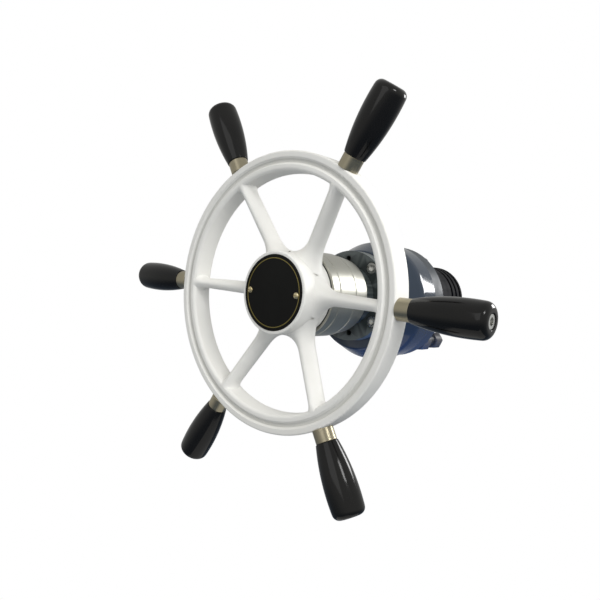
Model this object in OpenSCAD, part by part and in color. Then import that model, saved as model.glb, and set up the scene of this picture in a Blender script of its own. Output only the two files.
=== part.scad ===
// Boat steering helm: a six-spoke wheel on a hydraulic hand pump.
// Pieces are drawn along the shaft, z forward to the helmsman, y up, and then turned
// so that the shaft lies on Y. The origin is on the shaft, on the face that meets the panel.

/* [Wheel] */
// Outside diameter of the rim
rim_d = 283; // [260:1:320]
// Width of the rim along the shaft
rim_w = 23; // [21:0.5:28]
// Thickness of the rim from its outside to its inside
rim_t = 20; // [18:0.5:24]
// Width of the lip round the rim's front face
rim_lip_w = 6.5; // [5:0.5:8]
// Width of the round groove between lip and bead
rim_groove_w = 7; // [6:0.5:8]
// Depth of that groove
rim_groove_h = 3; // [1:0.5:3]
// Rounding of the rim's outer edges
rim_edge_r = 2; // [0.5:0.25:2.5]
// Distance from the panel face to the rim's front
rim_front = 128; // [122:1:150]
// Diameter of the hub
hub_d = 84; // [80:1:92]
// Length of the hub
hub_len = 41; // [40:1:44]
// How far the hub stands ahead of the rim
hub_lead = 1; // [0:0.5:4]
// Diameter of the spigot behind the hub
hub_spigot_d = 44; // [36:1:52]
// Length of that spigot
hub_spigot_len = 14; // [10:1:15]
// Depth of the nut pocket behind the plate
nut_pocket_h = 15; // [14.5:0.5:17]
// Diameter of the nut pocket
nut_pocket_d = 38; // [34:1:48]
// Width of a spoke, seen from the front
spoke_w = 12; // [10:0.5:14]
// Depth of a spoke along the shaft
spoke_depth = 21; // [18:0.5:21]
// How far a spoke's hub end lies behind its rim end
spoke_lean = 16.5; // [12:0.5:17]
// Length of a spoke's ends inside rim and hub
spoke_sink = 4; // [3:0.5:6]
// Angle of the first spoke, seen from the front
wheel_angle = 53; // [0:1:59]

/* [Handles] */
// Length of a grip
handle_len = 70; // [66:1:80]
// Largest diameter of a grip
handle_d = 32.8; // [30:0.2:36]
// Diameter of a grip at its inner end
handle_neck_d = 22; // [21:0.5:26]
// Distance from the inner end to the thickest place
handle_crown_at = 48; // [42:1:56]
// Rounding of the grip's outer end
handle_end_r = 9; // [5:0.5:9]
// How far the grip's axis lies behind the rim's front
handle_set = 9; // [8:0.5:12]
// Outside diameter of a ferrule
ferrule_d = 20.6; // [19:0.2:20.8]
// Length of a ferrule
ferrule_len = 13.5; // [12:0.5:20]
// Depth of the flat that a ferrule stands on
ferrule_seat_h = 0.8; // [0.6:0.1:1.5]
// Diameter of the bolt through a grip
grip_bolt_d = 8; // [6:0.5:8]
// Head diameter of that bolt
grip_bolt_head_d = 13; // [11:0.5:14]
// Head height of that bolt
grip_bolt_head_h = 8; // [6:0.5:9]
// How far the head lies below the grip's end
grip_bolt_sink = 2; // [1:0.5:5]
// Length of the bolt in the rim
grip_bolt_grip = 14; // [10:0.5:15]

/* [Hub plate] */
// Diameter of the plate
plate_d = 76.4; // [72:0.2:78]
// Thickness of the plate
plate_t = 2.5; // [2:0.1:3]
// Width of the raised border round the plate
plate_border_w = 2.4; // [1:0.2:3]
// Height of that border
plate_border_h = 0.6; // [0.3:0.1:1]
// Distance of the plate's screws from its centre
plate_screw_at = 31.3; // [29:0.1:33]
// Thread diameter of those screws
plate_screw_d = 4; // [3:0.5:4]
// Length of those screws in the hub
plate_screw_len = 7; // [5:0.5:8]
// Head diameter of those screws
plate_screw_head_d = 6.4; // [5.5:0.1:7]
// Head height of those screws
plate_screw_head_h = 1.6; // [1:0.1:2]
// Width of the slot in each head
plate_slot_w = 1; // [0.6:0.1:1.4]

/* [Shaft] */
// Shaft diameter in the hub
shaft_hub_d = 22; // [20:0.5:23]
// Shaft diameter in the bearings
shaft_bearing_d = 25; // [25:1:26]
// Diameter of the collar behind the bearings
shaft_collar_d = 31; // [29:0.5:32]
// Width of that collar
shaft_collar_w = 8; // [5:0.5:10]
// Shaft diameter in the pump
shaft_drive_d = 20; // [18:0.5:20]
// Thread diameter at the wheel's end
shaft_thread_d = 16; // [14:1:18]
// Width across the flats of the wheel's nut
wheel_nut_af = 24; // [22:1:27]
// Height of that nut
wheel_nut_h = 10; // [9:0.5:11]
// Diameter of the washer under the nut
wheel_washer_d = 32; // [30:1:33]
// Thickness of that washer
wheel_washer_t = 2.5; // [2:0.1:2.6]
// Width and height of the key in the hub
wheel_key_w = 6; // [5:0.5:6]
// Length of that key
wheel_key_len = 24; // [18:1:28]
// Width and height of the key in the drive gear
drive_key_w = 5; // [4:0.5:5]
// Length of that key
drive_key_len = 16; // [12:0.5:18]
// Thickness of the retaining ring on the shaft
circlip_t = 1.5; // [1.2:0.1:1.8]
// Depth of its groove
circlip_groove_h = 0.8; // [0.5:0.1:1]
// Radial width of that ring
circlip_w = 3.2; // [2.5:0.1:3.4]

/* [Bearings] */
// Outside diameter of a ball bearing
bearing_d = 52; // [52:1:54]
// Width of a bearing
bearing_w = 15; // [14:0.5:16]
// Ball diameter, as a share of the bearing's section
ball_share = 0.593; // [0.5:0.001:0.6]
// Balls in a bearing
ball_count = 9; // [7:1:10]
// Thickness of each race beside its groove, as a share of the section
race_share = 0.333; // [0.31:0.001:0.35]
// Width of the ball cage
cage_w = 11; // [10:0.5:12]
// Thickness of the ball cage, as a share of the section
cage_share = 0.178; // [0.12:0.001:0.19]
// Distance between the two bearings
bearing_gap = 26; // [20:0.5:27]
// Distance of the rear bearing from the panel face
bearing_floor = 5; // [3:0.5:8]

/* [Nose] */
// Outside diameter of the bearing nose
nose_d = 68; // [64:0.5:74]
// Length of the nose ahead of the panel face
nose_len = 70; // [69:0.5:73]
// Diameter of the flange behind the panel
flange_d = 104; // [103:0.5:110]
// Thickness of the flange
flange_t = 14; // [13:0.5:18]
// Diameter of the clearance hole behind the rear bearing
nose_hole_d = 40; // [36:0.5:43]
// Width of the shaft's lip seal
seal_w = 7; // [5:0.5:7.4]
// Thread core diameter of the four panel holes
panel_hole_d = 6.8; // [6:0.1:8]
// Depth of the panel holes
panel_hole_h = 11; // [8:0.5:12]
// Circle of the panel holes
panel_pcd = 86; // [84:0.5:88]
// Circle of the flange screws
flange_screw_pcd = 87; // [86:0.5:89]
// Angle of the first flange screw
flange_screw_angle = 44; // [35:1:55]
// Thread diameter of the flange screws
flange_screw_d = 8; // [6:0.5:8]
// Head diameter of the flange screws
flange_screw_head_d = 13; // [12:0.1:13]
// Head height of the flange screws
flange_screw_head_h = 8; // [6:0.5:8]
// Length of the flange screws
flange_screw_len = 20; // [16:1:21]

/* [Shroud] */
// Outside diameter of the neck shroud
shroud_d = 90.8; // [88:0.2:96]
// Diameter of its rear edge
shroud_back_d = 84; // [82:0.5:88]
// Wall of the shroud
shroud_wall = 2.9; // [2:0.1:3.5]
// Distance of the shroud's rear edge from the panel face
shroud_back = 24; // [18:0.5:30]
// Running gap between shroud and hub
shroud_gap = 0.5; // [0.5:0.1:2]
// Width of the ring that holds the shroud on the nose
shroud_ring_w = 12; // [10:0.5:16]
// Distance of the first line from the rear edge
shroud_line_1 = 25; // [22:0.5:30]
// Distance of the second line from the rear edge
shroud_line_2 = 52; // [46:0.5:58]
// Radius of the two lines
shroud_line_r = 0.9; // [0.5:0.1:1.2]
// Diameter of the set screws
shroud_screw_d = 6; // [5:0.5:7]

/* [Drum] */
// How far the drum's axis lies below the shaft
drum_drop = 5; // [3:0.5:5]
// Largest diameter of the drum
drum_d = 143; // [136:0.5:148]
// Radial rise of the bell from its face to the largest diameter
drum_bell_rise = 13.5; // [11.5:0.5:14.5]
// How far the drum draws in towards its rear edge
drum_draft = 1.5; // [0.5:0.25:2]
// Length of the bell from face to largest diameter
drum_bell_len = 32; // [28:0.5:34]
// Length of the whole drum
drum_len = 64; // [62:0.5:68]
// Thickness of the front wall
drum_face_t = 16; // [14:0.5:17]
// Wall of the drum at its largest diameter
drum_wall = 10; // [9:0.25:10]
// Hole in the front wall for the shaft
drum_hole_d = 36; // [32:0.5:40]
// Thickness of the gaskets
gasket_t = 1; // [0.5:0.1:1.5]
// Distance of the rear bolts from the rear plate's edge, as a share of its diameter
rear_bolt_share = 0.0634; // [0.06:0.0002:0.066]
// Angle of the rear bolts above and below the side
rear_bolt_angle = 52; // [51:0.5:56]
// Thread diameter of the rear bolts
rear_bolt_d = 8; // [6:0.5:8]
// Head diameter of the rear bolts
rear_bolt_head_d = 13; // [12:0.5:14]
// Head height of the rear bolts
rear_bolt_head_h = 9; // [7:0.5:10]
// Length of the rear bolts
rear_bolt_len = 44; // [34:1:45]
// Length of the bosses that take the rear bolts
rear_boss_len = 30; // [26:1:34]

/* [Rear plate] */
// How far the rear plate lies inside the drum's rear edge
rear_plate_step = 1; // [0:0.25:2]
// Thickness of the rear plate
rear_plate_t = 22; // [19.5:0.5:26]
// Chamfer of its rear edge
rear_plate_chamfer = 2; // [1:0.5:2.5]
// Depth of the threads in the rear plate
rear_plate_thread = 9; // [7:0.5:9.5]
// Outside diameter of the shaft bush
shaft_bush_d = 26; // [24:0.5:30]
// Length of the shaft bush
shaft_bush_len = 12; // [9:0.5:14]
// Distance of the breather from the rear plate's top edge
breather_inset = 10.8; // [10.5:0.1:11]
// Diameter of the breather's cap
breather_d = 15; // [13:0.5:15]
// Height of the breather's cap
breather_h = 12; // [8:0.5:20]
// Thread diameter of the breather
breather_thread_d = 7; // [5:0.5:7]
// Bore of the breather
breather_bore_d = 2.5; // [1.5:0.1:3]

/* [Gear pump] */
// Teeth of each gear
gear_teeth = 12; // [11:1:12]
// Pressure angle of the teeth
gear_pressure = 25; // [24:0.5:26]
// Width of the gears
gear_w = 20; // [18:0.5:20]
// Play between the teeth
gear_backlash = 0.4; // [0.3:0.05:0.6]
// Gap between the gears' tips and their housing
gear_tip_gap = 0.3; // [0.2:0.05:0.5]
// Gap at each side of the gears
gear_side_gap = 0.1; // [0.05:0.05:0.2]
// Wall of the pump stack round each gear
stack_wall = 8.7; // [8.4:0.1:9.5]
// Gap between the stack and the drum
stack_gap = 0.5; // [0.3:0.1:2]
// Thickness of the front wear plate
front_wear_t = 10; // [9:0.5:12]
// Thickness of the rear wear plate
rear_wear_t = 6; // [5:0.5:7]
// Distance of the stack screws from the stack's edge
stack_screw_inset = 4.5; // [4.3:0.1:4.8]
// Thread diameter of the stack screws
stack_screw_d = 5; // [4:0.5:5]
// Head diameter of the stack screws
stack_screw_head_d = 8.5; // [7:0.5:9]
// Head height of the stack screws
stack_screw_head_h = 5; // [4:0.5:5]
// Diameter of the idler's axle
idler_axle_d = 14; // [12:0.5:15]
// Wall of the idler's bush
idler_bush_t = 2; // [1.5:0.1:2.5]
// Depth of the axle in the front wear plate
idler_front_h = 7; // [5:0.5:8]
// Depth of the axle in the rear plate
idler_rear_h = 6; // [4:0.5:8]

/* [Valve block] */
// Length of the valve block
valve_block_len = 106; // [98:1:114]
// Grooves round its rear part
rib_count = 3; // [2:1:4]
// Distance from groove to groove
rib_pitch = 11; // [9:0.5:12]
// Width of a groove
rib_groove_w = 5; // [3:0.5:6]
// Depth of a groove
rib_groove_h = 3; // [1:0.5:4]
// Distance of the last groove from the rear face
rib_back = 8; // [6:0.5:10]
// Chamfer of the rear edge
valve_block_chamfer = 4; // [2:0.5:5]
// Distance of the lock valve from the front of the block
valve_at = 17; // [14:0.5:19]
// Diameter of the spool
spool_d = 14; // [12:0.2:14]
// How far the spool moves each way
spool_travel = 2.2; // [1.5:0.1:2.5]
// Length of the spool's pins
spool_pin_len = 2.5; // [2:0.1:3]
// Diameter of the spool's pins
spool_pin_d = 5; // [4:0.5:6]
// Diameter of the poppets' chambers
chamber_d = 18; // [17:0.2:19]
// Length of a poppet's straight part
poppet_len = 8; // [6:0.5:9]
// Length of a poppet's nose
poppet_nose = 4; // [3:0.5:4]
// Length of a valve plug
plug_len = 10; // [9:0.5:11]
// How far a plug lies below the block's side
plug_sink = 1; // [1:0.5:2]
// Room for a check spring
spring_room = 8; // [7:0.5:9]
// Mean diameter of a check spring
spring_d = 11; // [9:0.5:12]
// Wire diameter of a check spring
spring_wire_d = 1.4; // [1:0.1:1.6]
// Turns of a check spring
spring_turns = 3; // [2:1:4]
// Distance of the block screws from the shaft, across and up, as a share of the block's diameter
block_screw_share = 0.25; // [0.24:0.005:0.26]
// Thread diameter of the block screws
block_screw_d = 8; // [6:0.5:8]
// Head diameter of the block screws
block_screw_head_d = 13; // [12:0.5:13.5]
// Head height of the block screws
block_screw_head_h = 8; // [6:0.5:9]

/* [Unions] */
// Distance of each union from the middle
union_side = 15; // [14:0.5:16]
// Distance of the unions from the rear plate's bottom edge
union_inset = 17; // [16:0.5:17.5]
// Distance from the unions' axes to the valve block
union_clear = 13; // [12.8:0.1:15]
// Thread diameter in the rear plate
union_thread_d = 16; // [14:0.5:18]
// Length of that thread
union_thread_len = 12; // [9:0.5:13]
// Width across the flats of the union's body
union_hex_af = 21; // [20:0.5:22]
// Length of that hexagon
union_hex_len = 12; // [8:0.5:14]
// Length of the union's stem behind the hexagon
union_stem_len = 72; // [68:1:80]
// Diameter of that stem
union_stem_d = 16; // [15:0.5:17]
// Width across the flats of the union's nut
union_nut_af = 22; // [20:0.5:22]
// Length of that nut
union_nut_len = 18; // [14:0.5:22]
// Distance of the nut from the hexagon
union_nut_at = 18; // [14:0.5:22]
// Width across the flats of the gland nut that holds the pipe
union_gland_af = 20; // [19.5:0.5:22]
// Length of the gland nut
union_gland_len = 16; // [12:0.5:18]
// Distance of the gland nut from the end of the stem
union_gland_back = 4; // [2:0.5:6]
// Diameter of the pipe that a union takes
union_pipe_d = 10; // [8:0.5:10]
// Depth of the pipe's socket
union_socket_h = 22; // [15:0.5:26]
// Oil bore of a union
union_oil_d = 6; // [4:0.5:7]

/* [Fits] */
// Radial gap of a seated piece
seat_fit = 0.02; // [0.01:0.01:0.05]
// Radial gap of a thread, which is drawn plain
thread_fit = 0.05; // [0.03:0.01:0.1]
// Radial gap of a running fit
running_fit = 0.05; // [0.03:0.01:0.1]
// Radial gap of a screw in its clearance hole
screw_gap = 0.4; // [0.3:0.05:0.5]
// Gap round sunk heads, plates and keys
sunk_gap = 0.3; // [0.2:0.05:0.35]
// Gap between a valve piece and what it moves to
valve_gap = 0.3; // [0.2:0.05:0.4]

/* [Hidden] */
$fn = 96;

spoke_count = 6;
panel_hole_count = 4;
shroud_screw_count = 3;
// Share of a screw's head that its socket takes, across and down
socket_share = 0.5;
// Depth of a tooth below the pitch circle, in modules
gear_root_depth = 1.25;
// Gap at each end of a check spring
spring_end_gap = 0.1;
// How far a cut runs past the face it opens
cut = 1;
rim_r = rim_d / 2;
rim_in_r = rim_r - rim_t;
rim_back = rim_front - rim_w;
spoke_z = rim_front - rim_w / 2;
spoke_tilt = atan(spoke_lean / (rim_in_r - hub_d / 2));
spoke_root = (rim_in_r - hub_d / 2 + spoke_sink) / cos(spoke_tilt);
hub_front = rim_front + hub_lead;
hub_back = hub_front - hub_len;
spigot_back = hub_back - hub_spigot_len;
plate_back = hub_front - plate_t;
pocket_floor = plate_back - nut_pocket_h;
handle_z = rim_front - handle_set;
ferrule_seat = rim_r - ferrule_seat_h;
handle_start = ferrule_seat + ferrule_len;
handle_end = handle_start + handle_len;
grip_head_floor = handle_end - grip_bolt_sink - grip_bolt_head_h;
grip_bolt_tip = ferrule_seat - grip_bolt_grip;
rear_bearing_front = bearing_floor + bearing_w;
front_bearing_back = rear_bearing_front + bearing_gap;
front_bearing_front = front_bearing_back + bearing_w;
ball_pitch_r = (shaft_bearing_d + bearing_d) / 4;
bearing_section = (bearing_d - shaft_bearing_d) / 2;
ball_d = bearing_section * ball_share;
race_t = bearing_section * race_share;
cage_t = bearing_section * cage_share;
flange_head_floor = -flange_screw_head_h - sunk_gap;
drum_front = -(flange_t + gasket_t);
drum_back = drum_front - drum_len;
drum_back_d = drum_d - 2 * drum_draft;
drum_face_d = drum_d - 2 * drum_bell_rise;
drum_bore_d = drum_d - 2 * drum_wall;
rear_plate_d = drum_back_d - 2 * rear_plate_step;
rear_boss_d = 2 * rear_bolt_share * rear_plate_d;
rear_bolt_pcd = rear_plate_d - rear_boss_d;
breather_at = rear_plate_d / 2 - drum_drop - breather_inset;
union_drop = rear_plate_d / 2 + drum_drop - union_inset;
plate_front = drum_back - gasket_t;
rear_plate_back = plate_front - rear_plate_t;
housing_w = gear_w + 2 * gear_side_gap;
housing_back = plate_front + rear_wear_t;
housing_front = housing_back + housing_w;
stack_front = housing_front + front_wear_t;
gear_back = housing_back + gear_side_gap;
// The gears and the wall round the lower one fill the drum from the shaft down to its bore
gear_module = (drum_bore_d / 2 + drum_drop - stack_gap - gear_tip_gap - stack_wall) / (1.5 * gear_teeth + 1);
pitch_r = gear_module * gear_teeth / 2;
gear_tip_r = pitch_r + gear_module;
gear_root_r = pitch_r - gear_root_depth * gear_module;
gear_base_r = pitch_r * cos(gear_pressure);
gear_drop = 2 * pitch_r;
stack_d = 2 * (gear_tip_r + gear_tip_gap + stack_wall);
stack_screw_at = stack_d / 2 - stack_screw_inset;
idler_bush_d = idler_axle_d + 2 * running_fit + 2 * idler_bush_t;
shaft_back = plate_front - shaft_bush_len;
valve_block_d = 2 * (union_drop - union_clear);
block_screw_at = valve_block_d * block_screw_share;
valve_back = rear_plate_back - valve_block_len;
valve_z = rear_plate_back - valve_at;
block_head_seat = valve_back + block_screw_head_h + sunk_gap;
poppet_r = chamber_d / 2 - valve_gap;
spool_bore_d = spool_d + 2 * running_fit;
// The lock valve is laid out inwards from the block's side
plug_reach = valve_block_d / 2 - plug_sink;
plug_at = plug_reach - plug_len;
poppet_back = plug_at - spring_room;
poppet_shoulder = poppet_back - poppet_len;
seat_at = poppet_shoulder - (poppet_r - spool_bore_d / 2 + valve_gap);
spool_reach = poppet_shoulder - poppet_nose - spool_travel - valve_gap;
spool_half = spool_reach - spool_pin_len;
union_stem_end = union_hex_len + union_stem_len;

// Turns a shape drawn along the shaft into the part's own frame
module on_shaft() {
    rotate([90, 0, 0]) children();
}

// A ring or tube from z0 to z1
module tube(r_out, r_in, z0, z1) {
    translate([0, 0, z0]) difference() {
        cylinder(r = r_out, h = z1 - z0);
        translate([0, 0, -cut]) cylinder(r = r_in, h = z1 - z0 + 2 * cut);
    }
}

// A round hole from z0 to z1
module hole(d, z0, z1) {
    translate([0, 0, z0]) cylinder(d = d, h = z1 - z0);
}

// A hexagonal bar, sized across its flats, from z0 to z1
module hex_bar(af, z0, z1) {
    translate([0, 0, z0]) cylinder(d = af / cos(30), h = z1 - z0, $fn = 6);
}

// A socket-head screw with its head's underside at 0 and its shank downwards
module cap_screw(d, len, head_d, head_h) {
    difference() {
        union() {
            cylinder(d = head_d, h = head_h);
            translate([0, 0, -len]) cylinder(d = d, h = len + cut);
        }
        hex_bar(head_d * socket_share, head_h * socket_share, head_h + cut);
    }
}

// Turns a shape to the spoke of the given number
module at_spoke(i) {
    rotate([0, 0, wheel_angle + (i - 1) * 360 / spoke_count]) children();
}

// Repeats a shape at each spoke
module each_spoke() {
    for (i = [1 : spoke_count])
        at_spoke(i) children();
}

// Turns a shape drawn along z so that it points outwards at one height on the shaft
module outwards(z) {
    translate([0, 0, z]) rotate([0, 90, 0]) children();
}

// Places a shape on the drum's own axis
module on_drum() {
    translate([0, -drum_drop, 0]) children();
}

// The rim's section, as radius and height above its back face
module rim_section() {
    bead_r = (rim_t - rim_lip_w - rim_groove_w) / 2;
    lip_in = rim_r - rim_lip_w;
    groove_r = (pow(rim_groove_w / 2, 2) + pow(rim_groove_h, 2)) / (2 * rim_groove_h);
    difference() {
        union() {
            translate([rim_in_r, 0]) square([rim_t - rim_edge_r, rim_w - bead_r]);
            translate([rim_in_r + bead_r, rim_w - bead_r]) circle(r = bead_r);
            translate([rim_in_r + bead_r, rim_edge_r])
                square([rim_t - bead_r - rim_edge_r, rim_w - rim_edge_r]);
            translate([lip_in, rim_edge_r]) square([rim_lip_w, rim_w - 2 * rim_edge_r]);
            for (y = [rim_edge_r, rim_w - rim_edge_r])
                translate([rim_r - rim_edge_r, y]) circle(r = rim_edge_r);
        }
        translate([lip_in - rim_groove_w / 2, rim_w - rim_groove_h + groove_r]) circle(r = groove_r);
    }
}

// One spoke, drawn inwards from the rim: a blade with round edges that leans back to the hub
module spoke() {
    edge_at = (spoke_depth - spoke_w) / 2;
    translate([0, 0, rim_in_r]) rotate([0, -spoke_tilt, 0]) translate([0, 0, -spoke_root])
        linear_extrude(spoke_root + spoke_sink) {
            square([2 * edge_at, spoke_w], center = true);
            for (x = [-edge_at, edge_at])
                translate([x, 0]) circle(d = spoke_w);
        }
}

module wheel_casting() {
    color("white") on_shaft() difference() {
        union() {
            translate([0, 0, rim_back]) rotate_extrude() rim_section();
            each_spoke() outwards(spoke_z) spoke();
            hole(hub_d, hub_back, hub_front);
            hole(hub_spigot_d, spigot_back, hub_back + cut);
        }
        hole(plate_d + 2 * sunk_gap, plate_back, hub_front + cut);
        hole(nut_pocket_d, pocket_floor, hub_front);
        hole(shaft_hub_d + 2 * seat_fit, spigot_back - cut, pocket_floor + cut);
        wheel_key_space(sunk_gap);
        plate_screw_places() hole(plate_screw_d, plate_back - plate_screw_len - cut, plate_back + cut);
        each_spoke() outwards(handle_z) {
            hole(ferrule_d + 2 * sunk_gap, ferrule_seat, rim_r + cut);
            hole(grip_bolt_d, grip_bolt_tip - cut, rim_r);
        }
    }
}

// The plate's two screws lie on one pair of spokes
module plate_screw_places() {
    for (i = [3, 6])
        at_spoke(i) translate([plate_screw_at, 0, 0]) children();
}

module hub_plate() {
    color("black") on_shaft() difference() {
        union() {
            hole(plate_d, plate_back, hub_front);
            tube(plate_d / 2, plate_d / 2 - plate_border_w, hub_front - cut, hub_front + plate_border_h);
        }
        plate_screw_places() hole(plate_screw_d + 2 * screw_gap, plate_back - cut, hub_front + cut);
    }
}

module plate_screws() {
    color("gold") on_shaft() plate_screw_places() {
        difference() {
            hole(plate_screw_head_d, hub_front, hub_front + plate_screw_head_h);
            translate([-plate_screw_head_d, -plate_slot_w / 2, hub_front + plate_screw_head_h / 2])
                cube([2 * plate_screw_head_d, plate_slot_w, plate_screw_head_h]);
        }
        hole(plate_screw_d - 2 * thread_fit, plate_back - plate_screw_len, hub_front);
    }
}

// The grip's section: a barrel that is thickest near its outer end
module handle_section() {
    swell = (handle_d - handle_neck_d) / 2;
    barrel_r = (pow(handle_crown_at, 2) + pow(swell, 2)) / (2 * swell);
    intersection() {
        translate([handle_d / 2 - barrel_r, handle_crown_at]) circle(r = barrel_r, $fn = 720);
        square([handle_d, handle_len]);
        union() {
            square([handle_d / 2, handle_len - handle_end_r]);
            square([handle_d / 2 - handle_end_r, handle_len]);
            translate([handle_d / 2 - handle_end_r, handle_len - handle_end_r]) circle(r = handle_end_r);
        }
    }
}

module handle(i) {
    color("#1c1c1c") on_shaft() at_spoke(i) outwards(handle_z) difference() {
        translate([0, 0, handle_start]) rotate_extrude() handle_section();
        hole(grip_bolt_d + 2 * screw_gap, handle_start - cut, handle_end);
        hole(grip_bolt_head_d + 2 * sunk_gap, grip_head_floor, handle_end + cut);
    }
}

module ferrule(i) {
    color("#a59a7c") on_shaft() at_spoke(i) outwards(handle_z)
        tube(ferrule_d / 2, grip_bolt_d / 2 + screw_gap, ferrule_seat, handle_start);
}

module handle_bolts() {
    color("silver") on_shaft() each_spoke() outwards(handle_z)
        translate([0, 0, grip_head_floor])
            cap_screw(grip_bolt_d - 2 * thread_fit, grip_head_floor - grip_bolt_tip,
                grip_bolt_head_d, grip_bolt_head_h);
}

module wheel_washer() {
    bore_r = shaft_thread_d / 2 + screw_gap;
    color("silver") on_shaft()
        tube(wheel_washer_d / 2, bore_r, pocket_floor, pocket_floor + wheel_washer_t);
}

module wheel_nut() {
    nut_back = pocket_floor + wheel_washer_t;
    color("silver") on_shaft() difference() {
        hex_bar(wheel_nut_af, nut_back, nut_back + wheel_nut_h);
        hole(shaft_thread_d + 2 * thread_fit, nut_back - cut, nut_back + wheel_nut_h + cut);
    }
}

// Room for the hub's key, half of it in the shaft
module wheel_key_space(grow) {
    translate([-wheel_key_w / 2, shaft_hub_d / 2 - wheel_key_w / 2, spigot_back + wheel_key_w])
        cube([wheel_key_w, wheel_key_w + grow, wheel_key_len]);
}

module wheel_key() {
    color("gray") on_shaft() wheel_key_space(0);
}

// Room for the drive gear's key, half of it in the shaft
module drive_key_space(grow) {
    back = gear_back + (gear_w - drive_key_len) / 2;
    translate([-drive_key_w / 2, shaft_drive_d / 2 - drive_key_w / 2, back])
        cube([drive_key_w, drive_key_w + grow, drive_key_len]);
}

module drive_key() {
    color("gray") on_shaft() drive_key_space(0);
}

module shaft() {
    thread_start = pocket_floor - cut;
    thread_end = pocket_floor + wheel_washer_t + wheel_nut_h + cut;
    color("lightgray") on_shaft() difference() {
        union() {
            hole(shaft_drive_d, shaft_back, bearing_floor);
            hole(shaft_collar_d, bearing_floor - shaft_collar_w, bearing_floor);
            hole(shaft_bearing_d, bearing_floor, spigot_back);
            hole(shaft_hub_d, spigot_back - cut, thread_start);
            hole(shaft_thread_d, thread_start, thread_end);
        }
        wheel_key_space(0);
        drive_key_space(0);
        tube(shaft_bearing_d, shaft_bearing_d / 2 - circlip_groove_h,
            front_bearing_front, front_bearing_front + circlip_t);
    }
}

// A round groove for the balls of a bearing centred on z
module ball_groove(z) {
    translate([0, 0, z]) rotate_extrude()
        translate([ball_pitch_r, 0]) circle(d = ball_d + 2 * running_fit);
}

module inner_race(back) {
    bore_r = shaft_bearing_d / 2 + seat_fit;
    color("silver") on_shaft() difference() {
        tube(bore_r + race_t, bore_r, back, back + bearing_w);
        ball_groove(back + bearing_w / 2);
    }
}

module outer_race(back) {
    color("silver") on_shaft() difference() {
        tube(bearing_d / 2 - seat_fit, bearing_d / 2 - race_t, back, back + bearing_w);
        ball_groove(back + bearing_w / 2);
    }
}

// A cage and its balls, as separate solids
module ball_set(back) {
    color("gold") on_shaft() translate([0, 0, back + bearing_w / 2]) {
        difference() {
            tube(ball_pitch_r + cage_t / 2, ball_pitch_r - cage_t / 2, -cage_w / 2, cage_w / 2);
            for (i = [0 : ball_count - 1])
                rotate([0, 0, i * 360 / ball_count]) outwards(0)
                    hole(ball_d + 2 * running_fit, ball_pitch_r - cage_w, ball_pitch_r + cage_w);
        }
        for (i = [0 : ball_count - 1])
            rotate([0, 0, i * 360 / ball_count]) translate([ball_pitch_r, 0, 0]) sphere(d = ball_d);
    }
}

module bearing_spacer() {
    bore_r = shaft_bearing_d / 2 + seat_fit;
    color("gray") on_shaft() tube(bore_r + race_t / 2, bore_r, rear_bearing_front, front_bearing_back);
}

module shaft_circlip() {
    groove_r = shaft_bearing_d / 2 - circlip_groove_h;
    color("gray") on_shaft() difference() {
        tube(groove_r + circlip_w, groove_r, front_bearing_front, front_bearing_front + circlip_t);
        translate([-circlip_w, 0, front_bearing_front - cut])
            cube([2 * circlip_w, shaft_bearing_d, circlip_t + 2 * cut]);
    }
}

module shaft_seal() {
    color("#2a2a2a") on_shaft()
        tube(bearing_d / 2 - seat_fit, shaft_bearing_d / 2 + running_fit, nose_len - seal_w, nose_len);
}

module flange_screw_places() {
    for (side = [0, 1], turn = [-1, 1])
        rotate([0, 0, side * 180 + turn * flange_screw_angle])
            translate([flange_screw_pcd / 2, 0, 0]) children();
}

module nose_flange() {
    color("#4a5254") on_shaft() difference() {
        union() {
            hole(flange_d, -flange_t, 0);
            hole(nose_d, -cut, nose_len);
        }
        hole(bearing_d, bearing_floor, nose_len + cut);
        hole(nose_hole_d, -flange_t - cut, bearing_floor + cut);
        for (i = [1 : panel_hole_count])
            rotate([0, 0, i * 360 / panel_hole_count]) translate([panel_pcd / 2, 0, 0])
                hole(panel_hole_d, -panel_hole_h, cut);
        flange_screw_places() {
            hole(flange_screw_head_d + 2 * sunk_gap, flange_head_floor, cut);
            hole(flange_screw_d + 2 * screw_gap, -flange_t - cut, 0);
        }
        shroud_screw_places() hole(shroud_screw_d, nose_d / 2 - shroud_screw_d / 4, nose_d);
    }
}

module flange_screws() {
    color("#e4e4de") on_shaft() flange_screw_places()
        translate([0, 0, flange_head_floor])
            cap_screw(flange_screw_d - 2 * thread_fit, flange_screw_len,
                flange_screw_head_d, flange_screw_head_h);
}

module flange_gasket() {
    color("#2a2a2a") on_shaft() difference() {
        tube(flange_d / 2, nose_hole_d / 2, drum_front, -flange_t);
        flange_screw_places() hole(flange_screw_d + 2 * screw_gap, drum_front - cut, cut);
    }
}

// The set screws stand round the shroud's inner ring
module shroud_screw_places() {
    for (i = [1 : shroud_screw_count])
        rotate([0, 0, 90 + i * 360 / shroud_screw_count])
            outwards(shroud_back + shroud_ring_w / 2) children();
}

module neck_shroud() {
    front = hub_back - shroud_gap;
    r_in = shroud_d / 2 - shroud_wall;
    taper_end = shroud_back + shroud_line_1;
    color("#c9c5b6") on_shaft() difference() {
        union() {
            hole(shroud_d, taper_end, front);
            translate([0, 0, shroud_back]) cylinder(d1 = shroud_back_d, d2 = shroud_d, h = shroud_line_1);
        }
        hole(nose_d + 2 * seat_fit, shroud_back - cut, front + cut);
        hole(2 * r_in, shroud_back + shroud_ring_w, front + cut);
        for (line = [shroud_line_1, shroud_line_2])
            translate([0, 0, shroud_back + line]) rotate_extrude()
                translate([shroud_d / 2, 0]) circle(r = shroud_line_r);
        shroud_screw_places() hole(shroud_screw_d, 0, shroud_d);
    }
}

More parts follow.
